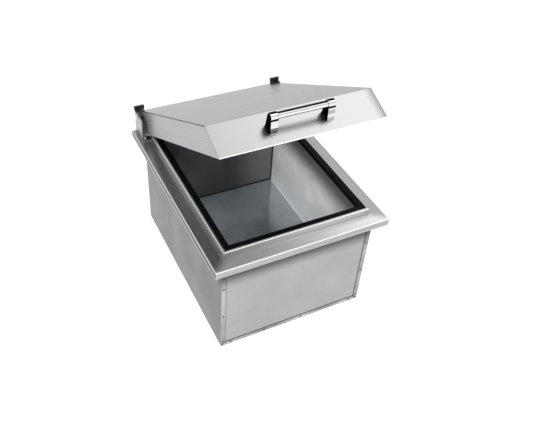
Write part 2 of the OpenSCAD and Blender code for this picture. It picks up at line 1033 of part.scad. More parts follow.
// The left post: a wedge with a saddle for the ferrule
module handle_post() {
    front = [post_start, 0];
    rear = [post_start + post_base, 0];
    lid_pose()
        slope_frame()
            difference() {
                along_x(-handle_l / 2, -handle_l / 2 + post_w)
                    difference() {
                        polygon([
                            front,
                            rear,
                            touch(rear, tube_at, ferrule_r, 1),
                            touch(front, tube_at, ferrule_r, -1)
                        ]);
                        translate(tube_at)
                            circle(ferrule_r + saddle_gap);
                    }
                handle_screw_bores(-over, handle_screw_depth + over, handle_screw_r + pin_play);
            }
}

module handle_post_left() {
    color(bright_steel)
        handle_post();
}

module handle_post_right() {
    color(bright_steel)
        mirror([1, 0, 0])
            handle_post();
}

// The left ferrule: a round cap over the tube's end
module handle_ferrule() {
    e = ferrule_edge_r;
    lid_pose()
        slope_frame()
            translate([-handle_l / 2, tube_at[0], tube_at[1]])
                rotate([0, 90, 0])
                    rotate_extrude()
                        difference() {
                            union() {
                                square([ferrule_r - e, post_w]);
                                translate([0, e])
                                    square([ferrule_r, post_w - 2 * e]);
                                for (z = [e, post_w - e])
                                    translate([ferrule_r - e, z])
                                        circle(e);
                            }
                            translate([0, post_w - ferrule_socket])
                                square([tube_r + pin_play, post_w]);
                        }
}

module handle_ferrule_left() {
    color(bright_steel)
        handle_ferrule();
}

module handle_ferrule_right() {
    color(bright_steel)
        mirror([1, 0, 0])
            handle_ferrule();
}

module handle_tube() {
    half = handle_l / 2 - post_w + ferrule_socket - seat_gap;
    color(bright_steel)
        lid_pose()
            slope_frame()
                translate([-half, tube_at[0], tube_at[1]])
                    rotate([0, 90, 0])
                        difference() {
                            cylinder(h = 2 * half, r = tube_r);
                            translate([0, 0, -over])
                                cylinder(h = 2 * half + 2 * over, r = tube_r - tube_wall);
                        }
}

module handle_screws() {
    shank = handle_screw_depth - over;
    color(steel)
        lid_pose()
            slope_frame() {
                handle_screw_bores(-lid_t - handle_screw_head_h, handle_screw_head_h, handle_screw_head_r);
                handle_screw_bores(-lid_t - over, lid_t + over + shank, handle_screw_r);
            }
}

outer_wrap();
front_panel();
rear_panel();
top_flange();
inner_liner();
breaker_strip_front();
breaker_strip_rear();
breaker_strip_left();
breaker_strip_right();
insulation_front();
insulation_rear();
insulation_left();
insulation_right();
insulation_bottom();
hinge_bracket_left();
hinge_bracket_right();
bumper_left();
bumper_right();
bracket_screws();
bracket_nuts();
hinge_pins();
hinge_spacers();
hinge_nuts();
drain_body();
drain_washer();
drain_locknut();
drain_strainer();
lid_skin();
lid_side_left();
lid_side_right();
lid_stiffeners();
lid_inner_pan();
lid_insulation();
lid_gasket();
handle_tube();
handle_ferrule_left();
handle_ferrule_right();
handle_post_left();
handle_post_right();
handle_screws();
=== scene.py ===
"""Looks of a drop-in cooler: an insulated steel tub under a sloped lid that turns on two side hinges."""

import logging
import math
from dataclasses import dataclass, field
from enum import Enum
from functools import reduce
from typing import Optional, Sequence, Union

import bmesh
import bpy
from mathutils import Matrix, Vector


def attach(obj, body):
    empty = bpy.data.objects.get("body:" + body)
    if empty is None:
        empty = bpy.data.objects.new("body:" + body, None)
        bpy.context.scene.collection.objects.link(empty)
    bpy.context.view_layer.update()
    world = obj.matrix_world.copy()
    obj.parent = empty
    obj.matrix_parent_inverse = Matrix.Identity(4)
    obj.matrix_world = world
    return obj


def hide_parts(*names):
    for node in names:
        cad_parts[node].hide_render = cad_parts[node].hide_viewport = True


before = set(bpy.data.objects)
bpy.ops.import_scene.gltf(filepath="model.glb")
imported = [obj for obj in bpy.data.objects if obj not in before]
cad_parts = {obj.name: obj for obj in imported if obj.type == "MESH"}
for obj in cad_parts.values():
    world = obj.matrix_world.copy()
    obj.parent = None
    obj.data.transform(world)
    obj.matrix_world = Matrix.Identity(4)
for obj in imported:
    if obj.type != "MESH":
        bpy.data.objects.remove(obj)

LOG = logging.getLogger("cooler")
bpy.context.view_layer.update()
MM = 0.001

Colour = tuple[float, float, float]
Triple = tuple[float, float, float]
Material = bpy.types.Material
Node = bpy.types.Node
Piece = bpy.types.Object
Ring = list[bmesh.types.BMVert]
Shape = bmesh.types.BMesh
Socket = bpy.types.NodeSocket
Sockets = dict[str, Socket]
Tree = bpy.types.NodeTree
Value = Union[float, Sequence[float], Socket]


def grey(tone: float) -> Colour:
    """A colour without hue."""
    return (tone, tone, tone)


BLACK = grey(0.0)
WHITE = grey(1.0)
LINE_BLACK = grey(0.006)

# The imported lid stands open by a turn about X. Its finishes turn back into the frame of the shut lid.
LID_OPEN_DEG = 28.0
SLOPE_OUTWARD: Triple = (0.0, -0.7682, 0.6402)
SLOPE_DOWNWARD: Triple = (0.0, -0.6402, -0.7682)


# Ranges that hold most of a noise's values, from narrow to wide.
NOISE_NARROW = (0.35, 0.65)
NOISE_MIDDLE = (0.3, 0.7)
NOISE_BROAD = (0.25, 0.75)
NOISE_WIDE = (0.2, 0.8)
NOISE_MEAN = 0.5

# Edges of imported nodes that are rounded, and points that count as one.
SHARP_DEG = 40.0
TOUCHING = 0.01 * MM


class Grain(Enum):
    """Turn, in degrees, that lays the grain along one axis of the sheet's own frame."""

    ACROSS = (0.0, 0.0, 0.0)
    ALONG = (0.0, 0.0, -90.0)
    UPRIGHT = (0.0, 90.0, 0.0)


@dataclass(frozen=True)
class Ramp:
    """A mask that grows smoothly from nothing at one value to its full share at another."""

    start: float
    stop: float
    share: float = 1.0


@dataclass(frozen=True)
class Noise:
    """A noise by its repeats in a metre, its octaves and the weight of the finer ones."""

    scale: float = 1.0
    detail: float = 2.0
    rough: float = 0.5


# Node graphs


class Graph:
    """A node tree while it is being wired."""

    def __init__(self, tree: Tree) -> None:
        """Start with the tree of a material, a world or a group, and empty it."""
        self.tree = tree
        tree.nodes.clear()

    def add(self, kind: str, settings: Optional[dict[str, object]] = None, **inputs: Value) -> Node:
        """Add a node.

        Args:
            kind: the node's Blender type.
            settings: attributes of the node itself.
            inputs: values or sockets, by input name with underscores for spaces.

        Returns:
            The new node.
        """
        node = self.tree.nodes.new(kind)
        for key, value in (settings or {}).items():
            setattr(node, key, value)
        for key, value in inputs.items():
            self.feed(node.inputs[key.replace("_", " ")], value)
        return node

    def feed(self, target: Socket, value: Value) -> None:
        """Put a value or a link into an input socket.

        Args:
            target: the input socket.
            value: a number, a colour, a vector or an output socket.
        """
        if isinstance(value, bpy.types.NodeSocket):
            self.tree.links.new(value, target)
        elif isinstance(value, (int, float)):
            target.default_value = value
        else:
            size = len(target.default_value)
            target.default_value = (*value, 1.0)[:size]

    def group(self, tree: Tree, **inputs: Value) -> Sockets:
        """Place a shader group and return its output sockets by name."""
        node = self.add("ShaderNodeGroup", {"node_tree": tree}, **inputs)
        return {out.name: out for out in node.outputs}

    def step(self, kind: str, settings: dict[str, object], terms: Sequence[Value]) -> Node:
        """Add a node whose inputs are filled in order.

        Args:
            kind: the node's Blender type.
            settings: attributes of the node itself.
            terms: its inputs.

        Returns:
            The new node.
        """
        node = self.add(kind, settings)
        for socket, term in zip(node.inputs, terms):
            self.feed(socket, term)
        return node

    def math(self, operation: str, *terms: Value, clamp: bool = False) -> Socket:
        """Join terms by one arithmetic step, and keep the result from 0 to 1 if asked."""
        return self.step("ShaderNodeMath", {"operation": operation, "use_clamp": clamp}, terms).outputs[0]

    def times(self, *terms: Value) -> Socket:
        """Product of the terms."""
        return reduce(lambda one, two: self.math("MULTIPLY", one, two), terms)

    def most(self, *terms: Value) -> Socket:
        """Greatest of the terms."""
        return reduce(lambda one, two: self.math("MAXIMUM", one, two), terms)

    def plus(self, one: Value, two: Value) -> Socket:
        """Sum of two terms."""
        return self.math("ADD", one, two)

    def minus(self, one: Value, two: Value) -> Socket:
        """The first term less the second."""
        return self.math("SUBTRACT", one, two)

    def size(self, term: Value) -> Socket:
        """A term without its sign."""
        return self.math("ABSOLUTE", term)

    def vector(self, operation: str, *terms: Value) -> Node:
        """Join vectors by one step."""
        return self.step("ShaderNodeVectorMath", {"operation": operation}, terms)

    def dot(self, vector: Value, direction: Triple) -> Socket:
        """How far a vector reaches along a direction."""
        return self.vector("DOT_PRODUCT", vector, direction).outputs["Value"]

    def axes(self, vector: Value) -> list[Socket]:
        """X, Y and Z of a vector."""
        return list(self.add("ShaderNodeSeparateXYZ", Vector=vector).outputs)

    def remap(self, value: Value, low: float, high: float, first: float = 0.0, last: float = 1.0) -> Socket:
        """Map a range smoothly onto another and clamp it.

        Args:
            value: what is mapped.
            low: start of its range.
            high: end of its range.
            first: result at the start.
            last: result at the end.

        Returns:
            The result's socket.
        """
        terms = {"Value": value, "From Min": low, "From Max": high, "To Min": first, "To Max": last}
        node = self.add("ShaderNodeMapRange", {"interpolation_type": "SMOOTHSTEP"})
        for name, term in terms.items():
            self.feed(node.inputs[name], term)
        return node.outputs["Result"]

    def ramp(self, value: Value, ramp: Ramp, base: float = 0.0) -> Socket:
        """Mask of a value by a ramp, whose ends are counted from a base."""
        return self.remap(value, base + ramp.start, base + ramp.stop, 0.0, ramp.share)

    def blend(self, share: Value, first: Value, second: Value, kind: str = "MIX") -> Socket:
        """Blend two colours.

        Args:
            share: weight of the second.
            first: colour at weight 0.
            second: colour at weight 1.
            kind: blend type.

        Returns:
            The colour's socket.
        """
        node = self.add("ShaderNodeMix", {"data_type": "RGBA", "blend_type": kind, "clamp_result": True})
        for index, term in ((0, share), (6, first), (7, second)):
            self.feed(node.inputs[index], term)
        return node.outputs[2]

    def noise(self, vector: Value, noise: Noise) -> Socket:
        """Value of a noise at a place."""
        recipe = {"Scale": noise.scale, "Detail": noise.detail, "Roughness": noise.rough}
        return self.add("ShaderNodeTexNoise", Vector=vector, **recipe).outputs[0]

    def beyond(self, vector: Value, axis: int, limit: float, soft: float = 0.4 * MM) -> Socket:
        """Mask of places or normals that reach over a limit on one axis, to either side.

        Args:
            vector: a place or a normal.
            axis: 0, 1 or 2.
            limit: the limit in metres, or as a cosine.
            soft: width of the step.

        Returns:
            The mask's socket.
        """
        away = self.size(self.axes(vector)[axis])
        return self.remap(away, limit - soft / 2, limit + soft / 2)

    def square_on(self, facing: Value, axis: int, cosine: float = 0.9, soft: float = 0.1) -> Socket:
        """Mask of normals that look along an axis, either way."""
        return self.beyond(facing, axis, cosine, soft)

    def stretch(self, vector: Value, scale: Triple, turn: Triple = (0.0, 0.0, 0.0)) -> Socket:
        """Turn and scale a place.

        Args:
            vector: the place.
            scale: factor on each axis, after the turn.
            turn: degrees about X, Y and Z.

        Returns:
            The vector's socket.
        """
        turned = self.add("ShaderNodeVectorRotate", {"rotation_type": "EULER_XYZ"}, Vector=vector)
        turned.inputs["Rotation"].default_value = [math.radians(angle) for angle in turn]
        return self.vector("MULTIPLY", turned.outputs[0], scale).outputs[0]

    def swivel(self, vector: Value, turn: Triple) -> Socket:
        """Turn a place by degrees about X, Y and Z."""
        return self.stretch(vector, (1.0, 1.0, 1.0), turn)

    def seen(self) -> Socket:
        """Mask of rays from the camera, from a reflection or through glass."""
        rays = self.add("ShaderNodeLightPath").outputs
        near = self.plus(rays["Is Camera Ray"], rays["Is Glossy Ray"])
        return self.math("ADD", near, rays["Is Transmission Ray"], clamp=True)


class MaterialGraph(Graph):
    """The graph of a new material."""

    def __init__(self, name: str) -> None:
        """Open the material."""
        self.material = bpy.data.materials.new(name)
        self.material.use_nodes = True
        super().__init__(self.material.node_tree)

    def close(self, shader: Node) -> Material:
        """Feed the material's output and return the material."""
        self.feed(self.add("ShaderNodeOutputMaterial").inputs["Surface"], shader.outputs[0])
        return self.material


def open_group(name: str, inputs: dict[str, str], masks: Sequence[str]) -> tuple[Graph, Sockets, Sockets]:
    """Open a shader group that puts out masks.

    Args:
        name: the group's name.
        inputs: Vector or Float, by input name.
        masks: names of its outputs.

    Returns:
        The graph, its given sockets by name and the sockets that take its masks.
    """
    tree = bpy.data.node_groups.new(name, "ShaderNodeTree")
    graph = Graph(tree)
    for label, kind in inputs.items():
        tree.interface.new_socket(label, in_out="INPUT", socket_type=f"NodeSocket{kind}")
    for label in masks:
        tree.interface.new_socket(label, in_out="OUTPUT", socket_type="NodeSocketFloat")
    given = graph.add("NodeGroupInput").outputs
    wanted = graph.add("NodeGroupOutput").inputs
    return graph, {label: given[label] for label in inputs}, {label: wanted[label] for label in masks}


# Effects that several finishes share


@dataclass
class Effects:
    """Shader groups that several finishes share, and the materials made so far."""

    brushing: Tree = field(init=False)
    handling: Tree = field(init=False)
    folds: Tree = field(init=False)
    materials: dict[str, Material] = field(default_factory=dict, init=False)
    fine_lines: Triple = (9.0, 1300.0, 1300.0)
    coarse_lines: Triple = (4.0, 420.0, 420.0)
    broad_bands: Triple = (0.9, 34.0, 34.0)
    fine_share: float = 0.6
    fine_noise: Noise = Noise(1.0, 3.0, 0.6)
    coarse_noise: Noise = Noise()
    cloud_noise: Noise = Noise(7.0, 3.0, 0.55)
    smudge_noise: Noise = Noise(11.0, 4.0, 0.62)
    smudge: Ramp = Ramp(0.52, 0.74)
    scratch_noise: Noise = Noise(1.0, 1.0)
    spot_noise: Noise = Noise(26.0)
    scratch_lines: float = 90.0
    scratch_lays: tuple[tuple[Triple, float], ...] = (
        ((11.0, 7.0, 23.0), 3.0), ((-17.0, 21.0, 71.0), 5.0), ((31.0, -13.0, -38.0), 4.0),
    )
    scratch_ridge: Ramp = Ramp(0.006, 0.0)
    scratch_spots: Ramp = Ramp(0.54, 0.66)
    fold_turn: Ramp = Ramp(0.995, 0.93)

    def __post_init__(self) -> None:
        """Build each group once."""
        self.brushing = self.make_brushing()
        self.handling = self.make_handling()
        self.folds = self.make_folds()

    def material(self, finish: "Finish") -> Material:
        """The material of a finish, made once.

        Args:
            finish: the finish.

        Returns:
            Its material.
        """
        if finish.name not in self.materials:
            self.materials[finish.name] = finish.make(self)
        return self.materials[finish.name]

    def make_brushing(self) -> Tree:
        """Grain of brushed sheet, along X of the place that is fed in.

        Returns:
            The group, with streaks, broad bands and clouds.
        """
        graph, given, wanted = open_group("brushed_grain", {"Place": "Vector"}, ("Streak", "Band", "Cloud"))
        fine = graph.noise(graph.stretch(given["Place"], self.fine_lines), self.fine_noise)
        coarse = graph.noise(graph.stretch(given["Place"], self.coarse_lines), self.coarse_noise)
        band = graph.noise(graph.stretch(given["Place"], self.broad_bands), self.fine_noise)
        cloud = graph.noise(given["Place"], self.cloud_noise)
        streak = graph.plus(graph.times(fine, self.fine_share), graph.times(coarse, 1.0 - self.fine_share))
        graph.feed(wanted["Streak"], streak)
        graph.feed(wanted["Band"], graph.remap(band, *NOISE_MIDDLE))
        graph.feed(wanted["Cloud"], graph.remap(cloud, *NOISE_MIDDLE))
        return graph.tree

    def make_handling(self) -> Tree:
        """Smudges and hairline scratches of use.

        Returns:
            The group, with a smudge mask and a scratch mask.
        """
        sockets = {"Place": "Vector", "Amount": "Float"}
        graph, given, wanted = open_group("handling_marks", sockets, ("Smudge", "Scratch"))
        broad = graph.noise(given["Place"], self.smudge_noise)
        graph.feed(wanted["Smudge"], graph.times(graph.ramp(broad, self.smudge), given["Amount"]))
        lines = []
        for turn, along in self.scratch_lays:
            placed = graph.stretch(given["Place"], (along, self.scratch_lines, self.scratch_lines), turn)
            ridge = graph.size(graph.minus(graph.noise(placed, self.scratch_noise), NOISE_MEAN))
            lines.append(graph.ramp(ridge, self.scratch_ridge))
        spots = graph.ramp(graph.noise(given["Place"], self.spot_noise), self.scratch_spots)
        graph.feed(wanted["Scratch"], graph.times(graph.most(*lines), spots, given["Amount"]))
        return graph.tree

    def make_folds(self) -> Tree:
        """Mask of bends and rounded edges, where a face looks along no axis of its sheet.

        Returns:
            The group, with one mask.
        """
        graph, given, wanted = open_group("fold_mask", {"Facing": "Vector"}, ("Mask",))
        most = graph.most(*(graph.size(part) for part in graph.axes(given["Facing"])))
        graph.feed(wanted["Mask"], graph.ramp(most, self.fold_turn))
        return graph.tree


class Surface(MaterialGraph):
    """The graph of a finish, with its coordinates, the shared groups and the tone and roughness so far."""

    def __init__(self, finish: "Finish", effects: Effects) -> None:
        """Open the finish's material with a Principled shader.

        Args:
            finish: the finish.
            effects: the shared groups.
        """
        super().__init__(finish.name)
        self.material.diffuse_color = (*finish.colour, 1.0)
        self.effects = effects
        self.tone: Value = finish.colour
        self.rough: Value = finish.roughness
        self.shader = self.add("ShaderNodeBsdfPrincipled", Metallic=finish.metallic)
        coords = self.add("ShaderNodeTexCoord").outputs
        self.place, self.facing = coords["Object"], coords["Normal"]

    def grain(self, place: Socket) -> Sockets:
        """Masks of the brushed grain, which runs along X of the place."""
        return self.group(self.effects.brushing, Place=place)

    def marks(self, place: Socket, amount: float) -> Sockets:
        """Masks of smudges and scratches."""
        return self.group(self.effects.handling, Place=place, Amount=amount)

    def folds(self, facing: Socket) -> Socket:
        """Mask of bends and rounded edges."""
        return self.group(self.effects.folds, Facing=facing)["Mask"]

    def cover(self, share: Value, tone: Value) -> None:
        """Lay another tone over the tone so far."""
        self.tone = self.blend(share, self.tone, tone)

    def emboss(self, height: Socket, strength: float, depth: float) -> None:
        """Feed the shader's normal with a relief of the stated strength and depth."""
        bump = self.add("ShaderNodeBump", Strength=strength, Distance=depth, Height=height)
        self.feed(self.shader.inputs["Normal"], bump.outputs[0])

    def finish(self) -> Material:
        """Feed the shader with the last tone and roughness and close the material."""
        self.feed(self.shader.inputs["Base Color"], self.tone)
        self.feed(self.shader.inputs["Roughness"], self.rough)
        return self.close(self.shader)


# Finishes


@dataclass(frozen=True)
class Finish:
    """What every finish has: its look, the marks of use that it shows and a way to make its material."""

    name: str
    colour: Colour
    roughness: float = 0.4
    metallic: float = 0.0
    marks: float = 0.5
    scratch_share: float = 0.35
    scratch_lift: float = 1.35
    smudged: float = 0.07
    # Painted highlight: bends and rounded edges are made paler by this factor.
    fold_highlight_lift: float = 1.15
    fold_sheen: float = 0.0

    def make(self, effects: Effects) -> Material:
        """Build the material.

        Args:
            effects: the shared groups.

        Returns:
            The material.
        """
        surface = Surface(self, effects)
        self.wire(surface)
        return surface.finish()

    def wire(self, surface: Surface) -> None:
        """Wire the finish in its own way."""
        raise NotImplementedError

    def scaled(self, factor: float) -> Colour:
        """The colour times a factor."""
        return tuple(min(1.0, c * factor) for c in self.colour)

    def wear(self, surface: Surface, place: Socket) -> Socket:
        """Lay scratches over the tone, and smudges over the roughness.

        Args:
            surface: the material.
            place: the place in the piece's own frame.

        Returns:
            Mask of the smudges.
        """
        marks = surface.marks(place, self.marks)
        scratched = surface.times(marks["Scratch"], self.scratch_share)
        surface.cover(scratched, self.scaled(self.scratch_lift))
        surface.rough = surface.plus(surface.rough, surface.times(marks["Smudge"], self.smudged))
        return marks["Smudge"]


@dataclass(frozen=True)
class EdgeLine:
    """A painted highlight or shadow line along a sheet's edge, found by a direction across it and the edge's
    distance that way.
    """

    across: Triple
    reach: float
    width: float
    tone: Colour
    soft: float = 0.4 * MM

    def draw(self, graph: Graph, place: Socket, tone: Value) -> Socket:
        """Draw the line over a tone.

        Args:
            graph: the material's graph.
            place: the place in the sheet's frame.
            tone: the tone so far.

        Returns:
            The tone with the line.
        """
        start = self.reach - self.width
        line = graph.remap(graph.dot(place, self.across), start - self.soft, start + self.soft)
        return graph.blend(line, tone, self.tone)


@dataclass(frozen=True)
class Facet:
    """A face of a brushed sheet that looks one way: smoother than the rest, and painted paler as a lit face.

    Its painted light grows along X and a painted shadow darkens its far end; where they start is counted as
    shares of the reach.
    """

    looks: Triple
    tone: Colour
    far_lit_tone: Colour
    reach: float
    roughness: float = 0.23
    smudged: float = 0.08
    relief: float = 0.3
    turn: Ramp = Ramp(0.8, 0.95)
    far_from: float = 0.6
    end_shade_tone: Colour = grey(0.08)
    end_share: float = 0.7
    end_from: float = 0.87
    end_to: float = 1.03
    hem_highlight: Optional[EdgeLine] = None

    def lay(self, surface: Surface, own: Socket, facing: Socket, streak: Socket, smudge: Socket) -> Socket:
        """Lay the face's painted light and shade and its roughness over the sheet's.

        Args:
            surface: the material.
            own: the place in the sheet's frame.
            facing: the normal in the sheet's frame.
            streak: how dark the grain is here.
            smudge: mask of the smudges.

        Returns:
            Share of the sheet's relief that is left.
        """
        face = surface.ramp(surface.dot(facing, self.looks), self.turn)
        across = surface.axes(own)[0]
        far = surface.remap(across, -self.reach, self.reach * self.far_from)
        tone = surface.blend(streak, surface.blend(far, self.tone, self.far_lit_tone), BLACK)
        # Painted shadow at the face's far end.
        start, stop = self.reach * self.end_from, self.reach * self.end_to
        end = surface.remap(across, start, stop, 0.0, self.end_share)
        tone = surface.blend(end, tone, self.end_shade_tone)
        # Painted highlight along the lower fold.
        if self.hem_highlight:
            tone = self.hem_highlight.draw(surface, own, tone)
        surface.cover(face, tone)
        smooth = surface.remap(smudge, 0.0, 1.0, self.roughness, self.roughness + self.smudged)
        rest = surface.times(surface.rough, surface.minus(1.0, face))
        surface.rough = surface.plus(rest, surface.times(smooth, face))
        return surface.remap(face, 0.0, 1.0, 1.0, self.relief)


@dataclass(frozen=True)
class BrushedSteel(Finish):
    """Stainless sheet with a directional grain, faint bands, smudges and painted highlights on its bends."""

    metallic: float = 1.0
    fold_sheen: float = 0.06
    grain: Grain = Grain.ALONG
    tilt: float = 0.0
    streak: float = 0.10
    cloud: float = 0.10
    cloud_gain: float = 3.0
    uneven: float = 0.05
    relief: float = 0.10
    relief_depth: float = 0.06 * MM
    cut_edge: float = 1.0
    facet: Optional[Facet] = None
    seam_shadow_lines: tuple[EdgeLine, ...] = ()

    def wire(self, surface: Surface) -> None:
        """Wire the grain, the marks, the painted highlights on the bends, the facet and the painted shadow
        lines.

        Args:
            surface: the material.
        """
        own = surface.swivel(surface.place, (self.tilt, 0.0, 0.0))
        facing = surface.swivel(surface.facing, (self.tilt, 0.0, 0.0))
        grain = surface.grain(surface.swivel(own, self.grain.value))
        streak, folds = grain["Streak"], surface.folds(facing)
        surface.tone = surface.blend(streak, self.scaled(1.0 - self.streak), self.scaled(1.0 + self.streak))
        surface.cover(grain["Band"], self.scaled(1.0 - self.streak / 2))
        clouded = surface.times(grain["Cloud"], self.cloud * self.cloud_gain)
        surface.cover(clouded, self.scaled(1.0 - self.cloud))
        low, high = self.roughness - self.uneven, self.roughness + self.uneven
        surface.rough = surface.remap(streak, *NOISE_BROAD, low, high)
        smudge = self.wear(surface, own)
        # Painted highlight on the bends.
        surface.cover(folds, self.scaled(self.fold_highlight_lift))
        surface.rough = surface.minus(surface.rough, surface.times(folds, self.fold_sheen))
        if self.cut_edge < 1.0:
            surface.cover(surface.square_on(facing, 0), self.scaled(self.cut_edge))
        height = streak
        if self.facet:
            dark = surface.remap(streak, *NOISE_WIDE, self.streak, 0.0)
            height = surface.times(height, self.facet.lay(surface, own, facing, dark, smudge))
        # Painted shadow lines along the sheet's edges.
        for rim in self.seam_shadow_lines:
            surface.tone = rim.draw(surface, own, surface.tone)
        surface.emboss(height, self.relief, self.relief_depth)


@dataclass(frozen=True)
class MitredSteel(Finish):
    """Brushed steel of a frame: four strips, each brushed along its own length, that meet in mitres.

    Light and shade are painted in: the side strips and side lips darker than the front, painted shade
    towards the left and near the curb, and painted highlights on the bends and along the lip's lower fold.
    Ramps across the frame are counted from its middle, from its outer edge or from the deck's level.
    """

    metallic: float = 0.85
    marks: float = 0.2
    scratch_lift: float = 1.3
    smudged: float = 0.06
    fold_highlight_lift: float = 1.6
    fold_sheen: float = 0.08
    half_w: float = 216 * MM
    half_l: float = 276 * MM
    deck_z: float = 288 * MM
    # Painted tones by face, which stand in for how light falls on each strip, lip and curb.
    side_painted_shade: Colour = grey(0.32)
    side_front_painted_shade: Colour = grey(0.18)
    side_fold_painted_highlight: Colour = grey(0.55)
    far_side_painted_shade: Colour = grey(0.5)
    lip_colour: Colour = grey(0.6)
    side_lip_painted_shade: Colour = grey(0.04)
    lip_hem_painted_highlight: Colour = grey(0.62)
    curb_colour: Colour = grey(0.88)
    side_roughness: float = 0.26
    streak: float = 0.22
    relief: float = 0.3
    relief_depth: float = 0.1 * MM
    mitre: Ramp = Ramp(-0.4 * MM, 0.4 * MM)
    soft_mitre: Ramp = Ramp(-24 * MM, 20 * MM)
    right_half: Ramp = Ramp(-10 * MM, 10 * MM)
    to_front: Ramp = Ramp(55.2 * MM, -248.4 * MM)
    front_corner: Ramp = Ramp(-256.68 * MM, -276 * MM, 0.6)
    left_shade: Ramp = Ramp(100 * MM, -200 * MM, 0.47)
    curb_shade: Ramp = Ramp(20 * MM, 35 * MM, 0.2)
    lip_hem: Ramp = Ramp(-14.6 * MM, -15.8 * MM)
    above_deck: Ramp = Ramp(1 * MM, 2 * MM)

    def wire(self, surface: Surface) -> None:
        """Wire the strips with their own grains and painted shades, the lip, the curb, the marks and the
        painted highlights on the bends.

        Args:
            surface: the material.
        """
        own, folds = surface.place, surface.folds(surface.facing)
        x, y, z = surface.axes(own)
        from_end = surface.minus(self.half_l, surface.size(y))
        apart = surface.minus(from_end, surface.minus(self.half_w, surface.size(x)))
        side = surface.ramp(apart, self.mitre)
        softly = surface.ramp(apart, self.soft_mitre)

        # Painted shade: the side strips are darker, most of all towards the front, and the far side is less
        # dark.
        left = surface.blend(surface.ramp(y, self.to_front), self.side_painted_shade, self.side_front_painted_shade)
        sides = surface.blend(surface.ramp(x, self.right_half), left, self.far_side_painted_shade)
        # Painted shade towards the left and near the curb.
        shade = surface.ramp(x, self.left_shade)
        shaded = surface.most(shade, surface.ramp(from_end, self.curb_shade))
        ends = surface.blend(shaded, self.colour, BLACK)
        sides = surface.blend(surface.ramp(y, self.front_corner), sides, ends)
        # Painted shade on the side lips, and a painted highlight along the lip's lower fold.
        lips = surface.blend(side, self.lip_colour, self.side_lip_painted_shade)
        lips = surface.blend(surface.ramp(z, self.lip_hem, self.deck_z), lips, self.lip_hem_painted_highlight)
        curb = surface.blend(side, surface.blend(shade, self.curb_colour, BLACK), self.curb_colour)
        upright = surface.blend(surface.ramp(z, self.above_deck, self.deck_z), lips, curb)
        level = surface.square_on(surface.facing, 2, cosine=0.8, soft=0.2)
        base = surface.blend(level, upright, surface.blend(softly, ends, sides))

        across, along = surface.grain(own), surface.grain(surface.swivel(own, Grain.ALONG.value))
        streaks = surface.blend(side, across["Streak"], along["Streak"])
        bands = surface.blend(side, across["Band"], along["Band"])
        dark = grey(1.0 - self.streak)
        tone = surface.blend(1.0, base, surface.blend(streaks, dark, WHITE), "MULTIPLY")
        surface.tone = surface.blend(1.0, tone, surface.blend(bands, WHITE, dark), "MULTIPLY")
        surface.rough = surface.remap(softly, 0.0, 1.0, self.roughness, self.side_roughness)
        self.wear(surface, own)
        # Painted highlights on the bends, dimmer on the side strips.
        surface.cover(folds, surface.blend(side, self.scaled(self.fold_highlight_lift), self.side_fold_painted_highlight))
        surface.rough = surface.minus(surface.rough, surface.times(folds, self.fold_sheen))
        surface.emboss(streaks, self.relief, self.relief_depth)


@dataclass(frozen=True)
class MillSteel(Finish):
    """Unbrushed sheet as it comes from the mill: dull, cloudy and slightly wavy."""

    metallic: float = 1.0
    marks: float = 0.6
    scratch_share: float = 0.4
    scratch_lift: float = 1.4
    smudged: float = 0.08
    fold_highlight_lift: float = 1.25
    cloud: float = 0.18
    cloud_noise: Noise = Noise(8.0, 4.0, 0.6)
    cloud_spread: Ramp = Ramp(0.34, 0.68)
    uneven: float = 0.06
    speckle: float = 0.06
    speckle_gain: float = 4.0
    speckle_lift: float = 1.5
    grit_noise: Noise = Noise(900.0, 2.0, 0.7)
    grit_range: tuple[float, float] = (0.45, 0.75)
    grit_relief: float = 0.02
    wave: float = 0.25
    wave_noise: Noise = Noise(14.0)
    wave_depth: float = 0.6 * MM

    def wire(self, surface: Surface) -> None:
        """Wire the clouds, the grit, the marks and the painted highlights on the bends, with the painted
        light, shade and joints of this sheet.

        Args:
            surface: the material.
        """
        place = surface.place
        cloud = surface.ramp(surface.noise(place, self.cloud_noise), self.cloud_spread)
        grit = surface.noise(place, self.grit_noise)
        surface.tone = self.clouded(surface, cloud, self.colour, 1.0 - self.cloud, 1.0 + self.cloud)
        speckled = surface.remap(grit, *self.grit_range, 0.0, self.speckle * self.speckle_gain)
        surface.cover(speckled, self.scaled(self.speckle_lift))
        low, high = self.roughness - self.uneven, self.roughness + self.uneven
        surface.rough = surface.remap(cloud, 0.0, 1.0, low, high)
        self.wear(surface, place)
        self.shade(surface, cloud)
        # Painted highlight on the bends.
        surface.cover(surface.folds(surface.facing), self.scaled(self.fold_highlight_lift))
        self.draw_joints_and_shade_lines(surface)
        rise = surface.times(grit, self.grit_relief)
        surface.emboss(surface.plus(surface.noise(place, self.wave_noise), rise), self.wave, self.wave_depth)

    def clouded(self, graph: Graph, cloud: Socket, tone: Colour, low: float, high: float) -> Socket:
        """Clouds between two factors of a tone."""
        return graph.blend(cloud, *(tuple(min(1.0, c * factor) for c in tone) for factor in (low, high)))

    def shade(self, surface: Surface, cloud: Socket) -> None:
        """Paint light and shade on single faces; plain sheet has none."""

    def draw_joints_and_shade_lines(self, surface: Surface) -> None:
        """Draw dark joints and painted shade lines; plain sheet has none."""


@dataclass(frozen=True)
class BoxSteel(MillSteel):
    """Mill sheet of the box, with the flange's shadow painted on it close under the flange."""

    flange_z: float = 243 * MM
    flange_shadow: Ramp = Ramp(-48 * MM, 5 * MM, 0.95)
    flange_shade: float = 0.1

    def shade(self, surface: Surface, cloud: Socket) -> None:
        """Paint the flange's shadow on the sheet under it."""
        # Painted shadow of the flange.
        under = surface.ramp(surface.axes(surface.place)[2], self.flange_shadow, self.flange_z)
        surface.cover(under, self.scaled(self.flange_shade))


